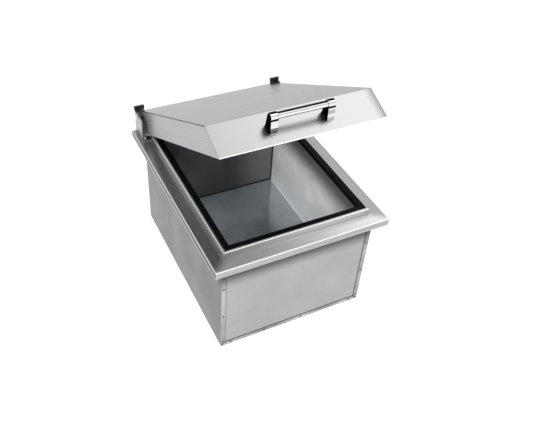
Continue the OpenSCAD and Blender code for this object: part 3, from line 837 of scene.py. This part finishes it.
@dataclass(frozen=True)
class PanelSteel(BoxSteel):
    """Sheet of an end panel, with a painted contact shadow along the flanges that lap over it."""

    seam_x: float = 178.5 * MM
    seam_z: float = 12.5 * MM
    seam_shade: float = 0.15
    below_seam: Ramp = Ramp(0.3 * MM, -0.3 * MM)

    def draw_joints_and_shade_lines(self, surface: Surface) -> None:
        """Paint the contact shadow along the joint.

        Args:
            surface: the material.
        """
        low = surface.ramp(surface.axes(surface.place)[2], self.below_seam, self.seam_z)
        # Painted shadow beside the flanges' edges and above the bottom flange.
        joint = surface.most(surface.beyond(surface.place, 0, self.seam_x), low)
        surface.cover(joint, self.scaled(self.seam_shade))


@dataclass(frozen=True)
class WrapSteel(BoxSteel):
    """Folded sheet round the box, with end flanges painted paler as lit faces, which meet in split mitres.
    """

    half_w: float = 191 * MM
    flange_w: float = 11 * MM
    flange_lit_tone: Colour = grey(0.4)
    flange_clouds: tuple[float, float] = (0.7, 1.35)
    split: Ramp = Ramp(2.4 * MM, 1.5 * MM)
    split_end: Ramp = Ramp(0.0, -1 * MM)

    def shade(self, surface: Surface, cloud: Socket) -> None:
        """Paint the end flanges paler as lit faces, then paint the flange's shadow on the sheet under it."""
        pale = self.clouded(surface, cloud, self.flange_lit_tone, *self.flange_clouds)
        surface.cover(surface.square_on(surface.facing, 1), pale)
        super().shade(surface, cloud)

    def draw_joints_and_shade_lines(self, surface: Surface) -> None:
        """Draw the splits of the mitres.

        Args:
            surface: the material.
        """
        x, _, z = surface.axes(surface.place)
        apart = surface.size(surface.minus(surface.minus(self.half_w, surface.size(x)), z))
        split = surface.times(surface.ramp(apart, self.split), surface.square_on(surface.facing, 1))
        split = surface.times(split, surface.ramp(z, self.split_end, self.flange_w))
        surface.cover(split, LINE_BLACK)


@dataclass(frozen=True)
class LinerSteel(MillSteel):
    """Sheet of the tub, with light and shade painted by face: side walls painted pale, the rear wall painted
    dark, a glossy floor and painted shade lines in the rear corners.

    Ramps across the tub are counted from the object's middle, from the tub's floor or from its brim.
    """

    floor_tone: Colour = (0.335, 0.378, 0.403)
    floor_clouds: tuple[float, float] = (0.82, 1.2)
    floor_roughness: float = 0.05
    floor_metallic: float = 0.6
    floor_right_light: Ramp = Ramp(30 * MM, 160 * MM, 0.4)
    floor_front_shade: Ramp = Ramp(100 * MM, -200 * MM, 0.52)
    floor_edge_highlight: float = 1.2
    end_shade_tone: Colour = (0.032, 0.032, 0.033)
    end_clouds: tuple[float, float] = (0.7, 1.35)
    end_right_light: Ramp = Ramp(20 * MM, 160 * MM, 0.22)
    end_right_light_lift: float = 0.8
    wall_top_shadow: Ramp = Ramp(70 * MM, 220 * MM, 0.25)
    wall_front_shade_ramp: Ramp = Ramp(60 * MM, -200 * MM, 0.12)
    wall_front_shade: float = 0.4
    half_w: float = 162 * MM
    rear_y: float = 199 * MM
    floor_z: float = 66 * MM
    brim_z: float = 300 * MM
    brim_shadow: Ramp = Ramp(-105 * MM, -22 * MM, 0.95)
    brim_shade: float = 0.05
    corner_w: float = 1.2 * MM
    corner_soft: float = 0.8 * MM
    floor_corner_shade_line: Ramp = Ramp(5 * MM, 3.6 * MM)
    rear_wall: Ramp = Ramp(-1.8 * MM, -1.2 * MM)

    def shade(self, surface: Surface, cloud: Socket) -> None:
        """Paint light and shade on the floor, the end walls and the side walls, and paint the brim's shadow
        under it.

        Args:
            surface: the material.
            cloud: mask of the clouds.
        """
        x, y, z = surface.axes(surface.place)
        level = surface.square_on(surface.facing, 2)
        floor = self.clouded(surface, cloud, self.floor_tone, *self.floor_clouds)
        # Painted light towards the floor's right, painted shade towards its front and a painted highlight
        # along its edges.
        floor = surface.blend(surface.ramp(x, self.floor_right_light), floor, self.colour)
        floor = surface.blend(surface.ramp(y, self.floor_front_shade), floor, BLACK)
        edge = surface.beyond(surface.place, 0, self.half_w)
        surface.cover(level, surface.blend(edge, floor, self.scaled(self.floor_edge_highlight)))
        glossier = surface.times(level, self.roughness - self.floor_roughness)
        surface.rough = surface.minus(surface.rough, glossier)
        metal = surface.remap(level, 0.0, 1.0, self.metallic, self.floor_metallic)
        surface.feed(surface.shader.inputs["Metallic"], metal)

        # Painted shade: the end walls are dark, painted lighter towards the right.
        end = self.clouded(surface, cloud, self.end_shade_tone, *self.end_clouds)
        end = surface.blend(surface.ramp(x, self.end_right_light), end, self.scaled(self.end_right_light_lift))
        surface.cover(surface.square_on(surface.facing, 1), end)

        # Painted shadow towards the walls' tops, painted shade towards their front, then the brim's painted
        # shadow.
        walls = surface.square_on(surface.facing, 0)
        surface.cover(surface.times(walls, surface.ramp(z, self.wall_top_shadow)), BLACK)
        front = surface.times(walls, surface.ramp(y, self.wall_front_shade_ramp))
        surface.cover(front, self.scaled(self.wall_front_shade))
        surface.cover(surface.ramp(z, self.brim_shadow, self.brim_z), self.scaled(self.brim_shade))

    def draw_joints_and_shade_lines(self, surface: Surface) -> None:
        """Paint shade lines along the rear wall's corners.

        Args:
            surface: the material.
        """
        _, y, z = surface.axes(surface.place)
        upright = surface.beyond(surface.place, 0, self.half_w - self.corner_w, self.corner_soft)
        line = surface.most(upright, surface.ramp(z, self.floor_corner_shade_line, self.floor_z))
        surface.cover(surface.times(line, surface.ramp(y, self.rear_wall, self.rear_y)), LINE_BLACK)


@dataclass(frozen=True)
class PolishedMetal(Finish):
    """Bright metal with a polishing haze. Flanks can take a painted dark reflection, and a tube a painted
    dark reflection band.
    """

    metallic: float = 1.0
    marks: float = 0.7
    scratch_share: float = 0.3
    scratch_lift: float = 0.8
    smudged: float = 0.06
    haze: float = 0.03
    haze_noise: Noise = Noise(60.0, 3.0)
    haze_tones: tuple[float, float] = (0.96, 1.04)
    rim_tint: Colour = WHITE
    flank_painted_tone: Optional[Colour] = None
    flank_turn: Ramp = Ramp(0.9, 0.99)
    flank_roughness: float = 0.12
    band: Optional[tuple[float, float]] = None
    reflection_band_facing: Triple = (0.0, 0.622, 0.783)
    band_soft: float = 0.03
    reflection_band_tone: Colour = grey(0.01)

    def wire(self, surface: Surface) -> None:
        """Wire the haze, the marks, and the painted reflections on the flanks and in the band.

        Args:
            surface: the material.
        """
        haze = surface.noise(surface.place, self.haze_noise)
        shade = surface.remap(haze, *NOISE_NARROW)
        surface.tone = surface.blend(shade, *(self.scaled(factor) for factor in self.haze_tones))
        surface.rough = surface.remap(haze, *NOISE_MIDDLE, self.roughness, self.roughness + self.haze)
        self.wear(surface, surface.place)
        # Painted reflection: faces that look along X are made dark.
        if self.flank_painted_tone:
            side = surface.ramp(surface.size(surface.axes(surface.facing)[0]), self.flank_turn)
            surface.cover(side, self.flank_painted_tone)
            surface.rough = surface.plus(surface.rough, surface.times(side, self.flank_roughness))
        self.mirror(surface)
        # Painted reflection: a dark band across the tube, by the way its normal leans.
        if self.band:
            lean = surface.dot(surface.facing, self.reflection_band_facing)
            surface.cover(self.between(surface, lean, self.band, self.band_soft), self.reflection_band_tone)
        surface.shader.inputs["Specular Tint"].default_value = (*self.rim_tint, 1.0)

    def between(self, graph: Graph, value: Socket, ends: tuple[float, float], soft: float) -> Socket:
        """Mask of a value between two ends.

        Args:
            graph: the material's graph.
            value: the value.
            ends: its low and its high end.
            soft: half the width of each end's step.

        Returns:
            The mask.
        """
        low, high = ends
        above = graph.remap(value, low - soft, low + soft)
        return graph.times(above, graph.remap(value, high + soft, high - soft))

    def mirror(self, surface: Surface) -> None:
        """Paint the shade and reflections of a piece next to it; a piece by itself has none."""


@dataclass(frozen=True)
class PostChrome(PolishedMetal):
    """Chrome of a handle post, with painted shade in the saddle under the tube and a painted grey reflection
    patch on its front.
    """

    saddle_at: tuple[float, float] = (0.0, 0.0)
    saddle_r: float = 11.2 * MM
    saddle_edge: Ramp = Ramp(0.3 * MM, -0.3 * MM)
    saddle_shade_tone: Colour = grey(0.008)
    patch: tuple[float, float] = (14 * MM, 22 * MM)
    patch_soft: float = 0.4 * MM
    patch_reflection_tone: Colour = grey(0.45)
    front_facing: Triple = (0.0, -0.926, -0.378)
    front_turn: Ramp = Ramp(0.85, 0.93)

    def mirror(self, surface: Surface) -> None:
        """Paint shade into the saddle and the reflection patch onto the front.

        Args:
            surface: the material.
        """
        y, z = self.saddle_at
        away = surface.vector("MULTIPLY_ADD", surface.place, (0.0, 1.0, 1.0), (0.0, -y, -z))
        reach = surface.vector("LENGTH", away.outputs[0]).outputs["Value"]
        # Painted shade in the saddle under the tube.
        surface.cover(surface.ramp(reach, self.saddle_edge, self.saddle_r), self.saddle_shade_tone)
        patch = self.between(surface, reach, self.patch, self.patch_soft)
        # Painted reflection patch on the front face.
        front = surface.ramp(surface.dot(surface.facing, self.front_facing), self.front_turn)
        surface.cover(surface.times(patch, front), self.patch_reflection_tone)


@dataclass(frozen=True)
class Moulded(Finish):
    """Plastic or rubber with a fine pebbled skin, dust and scuffs."""

    marks: float = 1.0
    smudged: float = 0.15
    scuff: float = 0.25
    dust: float = 0.02
    dust_lift: float = 1.6
    specular: float = 0.5
    pebble: float = 0.1
    pebble_noise: Noise = Noise(900.0)
    pebble_depth: float = 0.1 * MM

    def wire(self, surface: Surface) -> None:
        """Wire the scuffs, the dust and the pebbles.

        Args:
            surface: the material.
        """
        marks = surface.marks(surface.place, self.marks)
        pale = tuple(min(1.0, c * self.dust_lift + self.dust) for c in self.colour)
        worn = surface.times(surface.most(marks["Smudge"], marks["Scratch"]), self.scuff)
        surface.cover(worn, pale)
        surface.rough = surface.plus(self.roughness, surface.times(marks["Smudge"], self.smudged))
        surface.emboss(surface.noise(surface.place, self.pebble_noise), self.pebble, self.pebble_depth)
        surface.shader.inputs["Specular IOR Level"].default_value = self.specular


@dataclass(frozen=True)
class RigidFoam(Finish):
    """Foamed insulation with open cells on its cut faces."""

    cell: float = 420.0
    cell_edge: Ramp = Ramp(0.3, 0.0, 0.5)
    cell_shade: float = 0.7
    uneven_noise: Noise = Noise(12.0, 3.0)
    uneven_tones: tuple[float, float] = (0.88, 1.05)
    uneven_roughness: tuple[float, float] = (0.8, 0.95)
    relief: float = 0.5
    relief_depth: float = 0.8 * MM

    def wire(self, surface: Surface) -> None:
        """Wire the cells and the uneven colour.

        Args:
            surface: the material.
        """
        voronoi = surface.add("ShaderNodeTexVoronoi", Vector=surface.place, Scale=self.cell)
        cells = voronoi.outputs["Distance"]
        uneven = surface.noise(surface.place, self.uneven_noise)
        shade = surface.remap(uneven, *NOISE_NARROW)
        surface.tone = surface.blend(shade, *(self.scaled(factor) for factor in self.uneven_tones))
        surface.cover(surface.ramp(cells, self.cell_edge), self.scaled(self.cell_shade))
        surface.rough = surface.remap(uneven, *NOISE_MIDDLE, *self.uneven_roughness)
        surface.emboss(cells, self.relief, self.relief_depth)


PLATED_STEEL = PolishedMetal("plated_steel", (0.82, 0.82, 0.83), 0.14, haze=0.06)
RIGID_FOAM = RigidFoam("rigid_foam", (0.86, 0.76, 0.48), 0.9)


# Meshes


def finish_mesh(name: str, shape: Shape, smooth_deg: float = 35.0) -> Piece:
    """Turn a bmesh into a linked object that is smooth across shallow edges.

    Args:
        name: name of the piece.
        shape: the bmesh, which is freed.
        smooth_deg: edges steeper than this stay sharp.

    Returns:
        The object.
    """
    bmesh.ops.recalc_face_normals(shape, faces=shape.faces)
    mesh = bpy.data.meshes.new(name)
    for edge in shape.edges:
        edge.smooth = len(edge.link_faces) == 2 and edge.calc_face_angle(0.0) < math.radians(smooth_deg)
    for face in shape.faces:
        face.smooth = True
    shape.to_mesh(mesh)
    shape.free()
    piece = bpy.data.objects.new(name, mesh)
    bpy.context.scene.collection.objects.link(piece)
    return piece


def flat_sheet(name: str, half_w: float, half_l: float, level: float = 0.0) -> Piece:
    """Make a level rectangle round the origin.

    Args:
        name: its name.
        half_w: half its width along X.
        half_l: half its length along Y.
        level: its height.

    Returns:
        The object.
    """
    shape = bmesh.new()
    corners = ((-half_w, -half_l), (half_w, -half_l), (half_w, half_l), (-half_w, half_l))
    shape.faces.new([shape.verts.new((x, y, level)) for x, y in corners])
    return finish_mesh(name, shape)


def ring_points(radius: float, height: float, count: int) -> list[Vector]:
    """Points of a level circle round Z, or its middle alone where the radius is nothing.

    Args:
        radius: the circle's radius.
        height: its level.
        count: number of points.

    Returns:
        The points.
    """
    if radius == 0.0:
        return [Vector((0.0, 0.0, height))]
    angles = [2 * math.pi * i / count for i in range(count)]
    return [Vector((radius * math.cos(angle), radius * math.sin(angle), height)) for angle in angles]


def join_rings(shape: Shape, low: Ring, high: Ring, count: int) -> None:
    """Join two rings of a bmesh by faces.

    Args:
        shape: the bmesh.
        low: the first ring, or its middle alone.
        high: the next ring.
        count: number of steps round.
    """
    for i in range(count):
        j = (i + 1) % count
        corners = [low[i % len(low)], low[j % len(low)], high[j % len(high)], high[i % len(high)]]
        shape.faces.new(list(dict.fromkeys(corners)))


def turned(shape: Shape, profile: Sequence[tuple[float, float]], place: Matrix, count: int = 20) -> None:
    """Add a turned form, open at its last end, to a bmesh.

    Args:
        shape: the bmesh.
        profile: radius and height pairs, from one end to the other.
        place: where its axis stands.
        count: number of steps round.
    """
    rings = []
    for radius, height in profile:
        rings.append([shape.verts.new(place @ point) for point in ring_points(radius, height, count)])
    for low, high in zip(rings, rings[1:]):
        join_rings(shape, low, high, count)


# Sub-assemblies


@dataclass
class SubAssembly:
    """A group of pieces that are dressed and built together."""

    effects: Effects
    made: list[str] = field(default_factory=list, init=False)

    def dress(self, finish: Finish, *nodes: str) -> None:
        """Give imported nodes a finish.

        Args:
            finish: the finish.
            nodes: names of the nodes.
        """
        material = self.effects.material(finish)
        for name in nodes:
            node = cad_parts[name]
            node.data.materials.clear()
            node.data.materials.append(material)
            self.made.append(name)

    def soften(self, width: float, *nodes: str, segments: int = 2) -> None:
        """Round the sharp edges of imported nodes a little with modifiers.

        Args:
            width: width of the rounding in metres.
            nodes: names of the nodes.
            segments: steps across it.
        """
        for name in nodes:
            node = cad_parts[name]
            weld = node.modifiers.new("weld", "WELD")
            weld.merge_threshold = TOUCHING
            bevel = node.modifiers.new("edge", "BEVEL")
            bevel.width = width
            bevel.segments = segments
            bevel.limit_method = "ANGLE"
            bevel.angle_limit = math.radians(SHARP_DEG)
            bevel.harden_normals = False

    def add(self, piece: Piece, body: str, finish: Finish, slot: str) -> None:
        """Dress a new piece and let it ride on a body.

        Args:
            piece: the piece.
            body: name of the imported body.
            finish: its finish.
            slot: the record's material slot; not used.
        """
        piece.data.materials.append(self.effects.material(finish))
        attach(piece, body)
        self.made.append(piece.name)

    def report(self) -> None:
        """Log the pieces."""
        LOG.info("%s: %s", type(self).__name__, ", ".join(self.made))


@dataclass
class Box(SubAssembly):
    """The outer box with its insulation and the spot welds of its lapped flanges."""

    half_w: float = 191 * MM
    half_l: float = 251 * MM
    flange_w: float = 11 * MM
    seam_gap: float = 1.5 * MM
    weld_r: float = 3.1 * MM
    weld_dish: tuple[tuple[float, float], ...] = (
        (0.0, 0.06), (0.45, 0.05), (0.7, 0.09), (0.86, 0.22), (1.0, 0.12), (1.12, -0.1),
    )
    upright_welds: tuple[float, ...] = (16 * MM, 108 * MM, 200 * MM)
    level_welds: tuple[float, ...] = (-165 * MM, -76 * MM, 26 * MM, 165 * MM)

    def build(self) -> None:
        """Dress the sheets and the foam and add the welds."""
        # The wrap's sides are given a darker tone than the end panels, which paints shade on the sides.
        wrap = WrapSteel(
            "wrap_steel", grey(0.215), 0.4, cloud=0.08, wave=0.12, speckle=0.03,
            half_w=self.half_w, flange_w=self.flange_w,
        )
        panel = PanelSteel(
            "panel_steel", grey(0.445), 0.42, cloud=0.08, wave=0.14, speckle=0.03,
            seam_x=self.half_w - self.flange_w - self.seam_gap, seam_z=self.flange_w + self.seam_gap,
        )
        self.dress(wrap, "outer_wrap")
        self.dress(panel, "front_panel", "rear_panel")
        sides = ("front", "rear", "left", "right", "bottom")
        self.dress(RIGID_FOAM, *(f"insulation_{side}" for side in sides))
        self.build_welds(-1, "spot_welds_front")
        self.build_welds(1, "spot_welds_rear")

    def build_welds(self, side: int, name: str) -> None:
        """Add the dished spots that a weld gun leaves, on one end of the box.

        Args:
            side: -1 for the front, 1 for the rear.
            name: name of the piece.
        """
        shape = bmesh.new()
        inset = self.half_w - self.flange_w / 2
        spots = [(x, z) for z in self.upright_welds for x in (-inset, inset)]
        spots += [(x, self.flange_w / 2) for x in self.level_welds]
        dish = [(self.weld_r * share, height * MM) for share, height in self.weld_dish]
        outward = Matrix.Rotation(math.radians(-90 * side), 4, "X")
        for x, z in spots:
            turned(shape, dish, Matrix.Translation((x, side * self.half_l, z)) @ outward)
        weld = PolishedMetal("weld_spot", (0.14, 0.138, 0.135), 0.3, haze=0.1)
        self.add(finish_mesh(name, shape, smooth_deg=60.0), "tub", weld, "sheet")


@dataclass
class TopFlange(SubAssembly):
    """Deck, lip and curb, folded from one brushed sheet."""

    def build(self) -> None:
        """Dress the flange."""
        self.dress(MitredSteel("flange_steel", grey(0.97), 0.5), "top_flange")


@dataclass
class Tub(SubAssembly):
    """The inner liner with its drain."""

    def build(self) -> None:
        """Dress the liner and the drain."""
        liner = LinerSteel(
            "liner_steel", (0.86, 0.88, 0.9), 0.42, metallic=0.12, cloud=0.22, wave=0.05, speckle=0.08
        )
        strainer = BrushedSteel("strainer_steel", (0.55, 0.555, 0.56), 0.3, grain=Grain.ACROSS)
        self.dress(liner, "inner_liner")
        self.dress(PolishedMetal("drain_brass", (0.6, 0.45, 0.2), 0.3), "drain_body", "drain_locknut")
        self.dress(strainer, "drain_strainer")
        self.dress(Moulded("washer_rubber", (0.02, 0.02, 0.021), 0.6), "drain_washer")


@dataclass
class BreakerStrips(SubAssembly):
    """Glossy black strips between the curb and the tub."""

    def build(self) -> None:
        """Dress the four strips."""
        pvc = Moulded("breaker_pvc", (0.002, 0.002, 0.0021), 0.28, pebble=0.03, scuff=0.05, specular=0.05)
        self.dress(pvc, *(f"breaker_strip_{side}" for side in ("front", "rear", "left", "right")))


@dataclass
class Hinges(SubAssembly):
    """Side brackets with their bumpers, screws, pins, spacers and nuts."""

    screw_x: float = 197.5 * MM
    screw_y: tuple[float, ...] = (226 * MM, 263 * MM)
    screw_turns_deg: tuple[float, ...] = (17.0, 52.0)
    foot_top: float = 290 * MM
    shank_r: float = 2 * MM
    shank_low: float = 282.6 * MM
    shank_top: float = 290.1 * MM
    head_r: float = 4 * MM
    head_h: float = 2.6 * MM
    head_flat: float = 0.62
    head_drop: float = 0.42
    cross_half_w: float = 0.52 * MM
    cross_reach: float = 2.3 * MM
    cross_depth: float = 1.1 * MM
    cross_run: float = 2.9 * MM
    bumper_round: float = 1.4 * MM

    def build(self) -> None:
        """Dress the metal and build the rubber and the screws."""
        # Painted highlight: the brackets' front edges are made near white.
        front = Facet((0.0, -1.0, 0.0), grey(0.95), grey(0.95), 2.0)
        sheet = BrushedSteel(
            "bracket_steel", grey(0.36), 0.26, grain=Grain.UPRIGHT, marks=0.2, fold_highlight_lift=1.5, facet=front
        )
        rubber = Moulded("bumper_rubber", (0.012, 0.012, 0.013), 0.2, pebble=0.06, scuff=0.1)
        self.dress(sheet, "hinge_bracket_left", "hinge_bracket_right")
        self.dress(PLATED_STEEL, "hinge_nuts", "bracket_nuts")
        self.dress(PolishedMetal("polished_pin", (0.8, 0.8, 0.81), 0.08), "hinge_pins")
        self.dress(Moulded("black_nylon", (0.03, 0.03, 0.032), 0.42), "hinge_spacers")
        self.dress(rubber, "bumper_left", "bumper_right")
        self.soften(self.bumper_round, "bumper_left", "bumper_right", segments=3)
        self.build_screws()

    def build_screws(self) -> None:
        """Add pan-head screws with a cross recess in place of the plain ones."""
        shape = bmesh.new()
        low, high = self.shank_low - self.foot_top, self.shank_top - self.foot_top
        for side in (-1, 1):
            for turn, y in zip(self.screw_turns_deg, self.screw_y):
                place = Matrix.Translation((side * self.screw_x, y, self.foot_top))
                self.cross_head(shape, place @ Matrix.Rotation(math.radians(turn * side), 4, "Z"))
                turned(shape, [(0.0, low), (self.shank_r, low), (self.shank_r, high)], place)
        piece = finish_mesh("bracket_cross_screws", shape, smooth_deg=40.0)
        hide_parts("bracket_screws")
        self.add(piece, "tub", PLATED_STEEL, "bracket_steel")

    def head_height(self, x: float, y: float, share: float) -> float:
        """Level of a screw head's top, which falls to its rim and is pressed in along a cross.

        Args:
            x: distance from its axis along X.
            y: distance from its axis along Y.
            share: share of the head's radius.

        Returns:
            The height over its underside.
        """
        edge = max(0.0, share - self.head_flat) / (1.0 - self.head_flat)
        height = self.head_h * (1.0 - self.head_drop * edge * edge)
        near, far = sorted((abs(x), abs(y)))
        if near < self.cross_half_w and far < self.cross_reach:
            height -= self.cross_depth * (1.0 - far / self.cross_run)
        return height

    def cross_head(self, shape: Shape, place: Matrix, steps: int = 48, rings: int = 12) -> None:
        """Add one pan head whose top is pressed in along a cross.

        Args:
            shape: the bmesh.
            place: where the head stands.
            steps: number of steps round.
            rings: number of steps from its axis to its rim.
        """
        grid = []
        for i in range(rings + 1):
            angles = [2 * math.pi * k / steps for k in range(steps)]
            reach = self.head_r * i / rings
            spots = [(reach * math.cos(angle), reach * math.sin(angle)) for angle in angles]
            tops = [Vector((x, y, self.head_height(x, y, i / rings))) for x, y in spots]
            grid.append([shape.verts.new(place @ top) for top in tops])
        foot = [shape.verts.new(place @ point) for point in ring_points(self.head_r, 0.0, steps)]
        for inner, outer in zip(grid, [*grid[1:], foot]):
            join_rings(shape, inner, outer, steps)
        bmesh.ops.remove_doubles(shape, verts=grid[0], dist=TOUCHING)


@dataclass
class Lid(SubAssembly):
    """The lid's skin, side panels, pan, insulation and gasket."""

    slope_half_w: float = 190 * MM
    slope_low: float = 6.04 * MM
    hem_w: float = 2.2 * MM
    top_z: float = 432.45 * MM
    slope_reach: float = 589.0 * MM
    seam_shadow_w: float = 2.7 * MM

    def build(self) -> None:
        """Dress the lid."""
        # Painted highlight along the slope's lower fold; the slope is painted paler, lighter to the right,
        # with a painted shadow at its far end.
        hem_highlight = EdgeLine(SLOPE_DOWNWARD, self.slope_low, self.hem_w, grey(0.8))
        slope = Facet(SLOPE_OUTWARD, grey(0.45), grey(0.55), self.slope_half_w, hem_highlight=hem_highlight)
        top = BrushedSteel(
            "lid_steel", grey(0.235), 0.27, grain=Grain.ACROSS, tilt=LID_OPEN_DEG, streak=0.035, cloud=0.02,
            fold_highlight_lift=1.3, cut_edge=0.06, facet=slope,
        )
        # Painted shadow lines along the side panels' joints with the skin.
        seam_shadow_lines = tuple(
            EdgeLine(across, reach, self.seam_shadow_w, grey(0.03))
            for across, reach in (((0.0, 0.0, 1.0), self.top_z), (SLOPE_OUTWARD, self.slope_reach))
        )
        side = BrushedSteel(
            "lid_side_steel", grey(0.25), 0.3, metallic=0.5, marks=0.1, tilt=LID_OPEN_DEG, streak=0.03,
            seam_shadow_lines=seam_shadow_lines,
        )
        pan = MillSteel("pan_steel", (0.5, 0.505, 0.51), 0.4, metallic=0.35, cloud=0.1, wave=0.2)
        self.dress(top, "lid_skin")
        self.dress(side, "lid_side_left", "lid_side_right")
        self.dress(pan, "lid_inner_pan")
        self.dress(Moulded("gasket_rubber", (0.02, 0.02, 0.021), 0.5, pebble=0.2), "lid_gasket")
        self.dress(PLATED_STEEL, "lid_stiffeners", "handle_screws")
        self.dress(RIGID_FOAM, "lid_insulation")


@dataclass
class Handle(SubAssembly):
    """The bar handle: chromed tube, ferrules and posts."""

    tube_axis: tuple[float, float] = (-195.71 * MM, 588.16 * MM)
    post_round: float = 0.6 * MM

    def build(self) -> None:
        """Dress the handle."""
        bright = (0.88, 0.88, 0.885)
        # Painted dark reflection bands on the tube and ferrules, and painted dark reflections on the
        # ferrules' and posts' flanks.
        chrome = PolishedMetal("chrome", bright, 0.04, rim_tint=BLACK, haze=0.02, band=(0.3, 0.86))
        ferrules = PolishedMetal(
            "chromed_ferrule", bright, 0.05, rim_tint=BLACK, haze=0.02, band=(0.42, 0.92),
            flank_painted_tone=(0.012, 0.012, 0.013),
        )
        self.dress(chrome, "handle_tube")
        self.dress(ferrules, "handle_ferrule_left", "handle_ferrule_right")
        # Painted reflection patches on the posts' fronts, darker on the near post.
        for name, node, patch, tone in (
            ("chromed_post_near", "handle_post_left", (24 * MM, 35.5 * MM), grey(0.16)),
            ("chromed_post_far", "handle_post_right", (14 * MM, 22 * MM), grey(0.45)),
        ):
            post = PostChrome(
                name, (0.82, 0.82, 0.825), 0.06, rim_tint=BLACK, flank_painted_tone=(0.006, 0.006, 0.007),
                saddle_at=self.tube_axis, patch=patch, patch_reflection_tone=tone,
            )
            self.dress(post, node)
        self.soften(self.post_round, "handle_post_left", "handle_post_right")


# Studio


@dataclass(frozen=True)
class StudioPiece:
    """Something rectangular that hangs in the studio and faces a point."""

    name: str
    at: Triple
    aim: Triple
    size: tuple[float, float]

    def hang(self, thing: Piece) -> None:
        """Put the thing in its place."""
        thing.location = self.at
        thing.rotation_euler = (Vector(self.aim) - Vector(self.at)).to_track_quat("-Z", "Y").to_euler()


@dataclass(frozen=True)
class Softbox(StudioPiece):
    """A rectangular studio lamp."""

    radiance: float
    seen_in_metal: bool = False

    def place(self) -> None:
        """Hang the lamp so that its face has the stated radiance."""
        data = bpy.data.lights.new(self.name, "AREA")
        data.shape = "RECTANGLE"
        data.size, data.size_y = self.size
        data.energy = self.radiance * math.pi * self.size[0] * self.size[1]
        lamp = bpy.data.objects.new(self.name, data)
        self.hang(lamp)
        lamp.visible_glossy = self.seen_in_metal
        lamp.visible_camera = False
        bpy.context.scene.collection.objects.link(lamp)


@dataclass(frozen=True)
class Flag(StudioPiece):
    """A dark card that only shows in reflections, as studios hang them for metal."""

    tone: float

    def place(self) -> None:
        """Hang the card."""
        card = flat_sheet(self.name, self.size[0] / 2, self.size[1] / 2)
        self.hang(card)
        graph = MaterialGraph(self.name)
        glow = graph.add("ShaderNodeEmission", Color=grey(self.tone), Strength=1.0)
        card.data.materials.append(graph.close(glow))
        for ray in ("camera", "diffuse", "shadow", "transmission", "volume_scatter"):
            setattr(card, f"visible_{ray}", False)


@dataclass
class Studio:
    """Camera, floor, backdrop and lamps."""

    camera_at: Triple = (-0.58608, -1.12827, 1.29739)
    camera_turn_deg: Triple = (48.0978, -3.2367, -26.4098)
    focal_px: float = 662.02
    image_w_px: int = 533
    sensor_mm: float = 36.0
    floor_half: float = 14.0
    floor_level: float = -0.2 * MM
    paper_tone: float = 0.85
    ambient: float = 0.62
    shadow_share: float = 0.2

    def build(self) -> None:
        """Build everything that isn't the cooler."""
        bpy.context.scene.view_settings.view_transform = "Standard"
        self.place_camera()
        self.lay_floor()
        self.light_world()
        for piece in (
            Softbox("overhead", (2.0, 0.1, 2.7), (1.0, 0.0, 0.4), (2.6, 3.0), 0.6, seen_in_metal=True),
            Softbox("left_fill", (-1.5, -0.7, 1.25), (0.1, 0.0, 0.2), (0.9, 0.9), 8.0),
            Softbox("left_low", (-1.5, 0.0, 0.76), (0.1, 0.12, 0.25), (0.8, 0.4), 11.0),
            Softbox("front_fill", (-1.3, -1.7, 1.9), (0.05, 0.0, 0.2), (0.9, 0.9), 4.0),
            Softbox("tub_fill", (-0.13, 0.03, 0.16), (0.165, 0.05, 0.1), (0.3, 0.14), 2.25),
            Softbox("low_fill", (-0.4, -2.0, 0.75), (0.0, 0.0, 0.5), (1.4, 0.7), 2.5),
            Flag("front_gap", (1.1, -2.2, 1.7), (0.0, -0.2, 0.55), (4.0, 0.5), 0.15),
        ):
            piece.place()

    def place_camera(self) -> None:
        """Set the camera at the photograph's angle."""
        data = bpy.data.cameras.new("camera")
        data.sensor_fit = "HORIZONTAL"
        data.sensor_width = self.sensor_mm
        data.lens = self.focal_px / self.image_w_px * self.sensor_mm
        data.clip_start, data.clip_end = 0.05, 60.0
        camera = bpy.data.objects.new("camera", data)
        camera.location = self.camera_at
        camera.rotation_euler = [math.radians(angle) for angle in self.camera_turn_deg]
        bpy.context.scene.collection.objects.link(camera)
        bpy.context.scene.camera = camera

    def lay_floor(self) -> None:
        """Lay a plain pale floor that keeps the cooler's shadow."""
        floor = flat_sheet("floor", self.floor_half, self.floor_half, self.floor_level)
        graph = MaterialGraph("floor_paper")
        paper = graph.add("ShaderNodeBsdfDiffuse", Color=grey(self.paper_tone))
        shade = graph.add("ShaderNodeBsdfDiffuse", Color=grey(self.shadow_share))
        glow = graph.add("ShaderNodeEmission", Color=WHITE, Strength=1.0 - self.shadow_share / 2)
        white = graph.step("ShaderNodeAddShader", {}, (glow.outputs[0], shade.outputs[0]))
        mix = graph.step("ShaderNodeMixShader", {}, (graph.seen(), paper.outputs[0], white.outputs[0]))
        floor.data.materials.append(graph.close(mix))

    def light_world(self) -> None:
        """White backdrop for the eye and for reflections, and a plain ambient light."""
        world = bpy.data.worlds.new("studio")
        world.use_nodes = True
        bpy.context.scene.world = world
        graph = Graph(world.node_tree)
        white = graph.add("ShaderNodeBackground", Color=WHITE, Strength=1.0)
        plain = graph.add("ShaderNodeBackground", Color=WHITE, Strength=self.ambient)
        mix = graph.step("ShaderNodeMixShader", {}, (graph.seen(), plain.outputs[0], white.outputs[0]))
        graph.feed(graph.add("ShaderNodeOutputWorld").inputs["Surface"], mix.outputs[0])


def main() -> None:
    """Dress and build the cooler, then the studio round it."""
    logging.basicConfig(level=logging.INFO, format="%(name)s %(message)s")
    Studio().build()
    effects = Effects()
    for kind in (Box, TopFlange, Tub, BreakerStrips, Hinges, Lid, Handle):
        part = kind(effects)
        part.build()
        part.report()


if __name__ == "__main__":
    main()
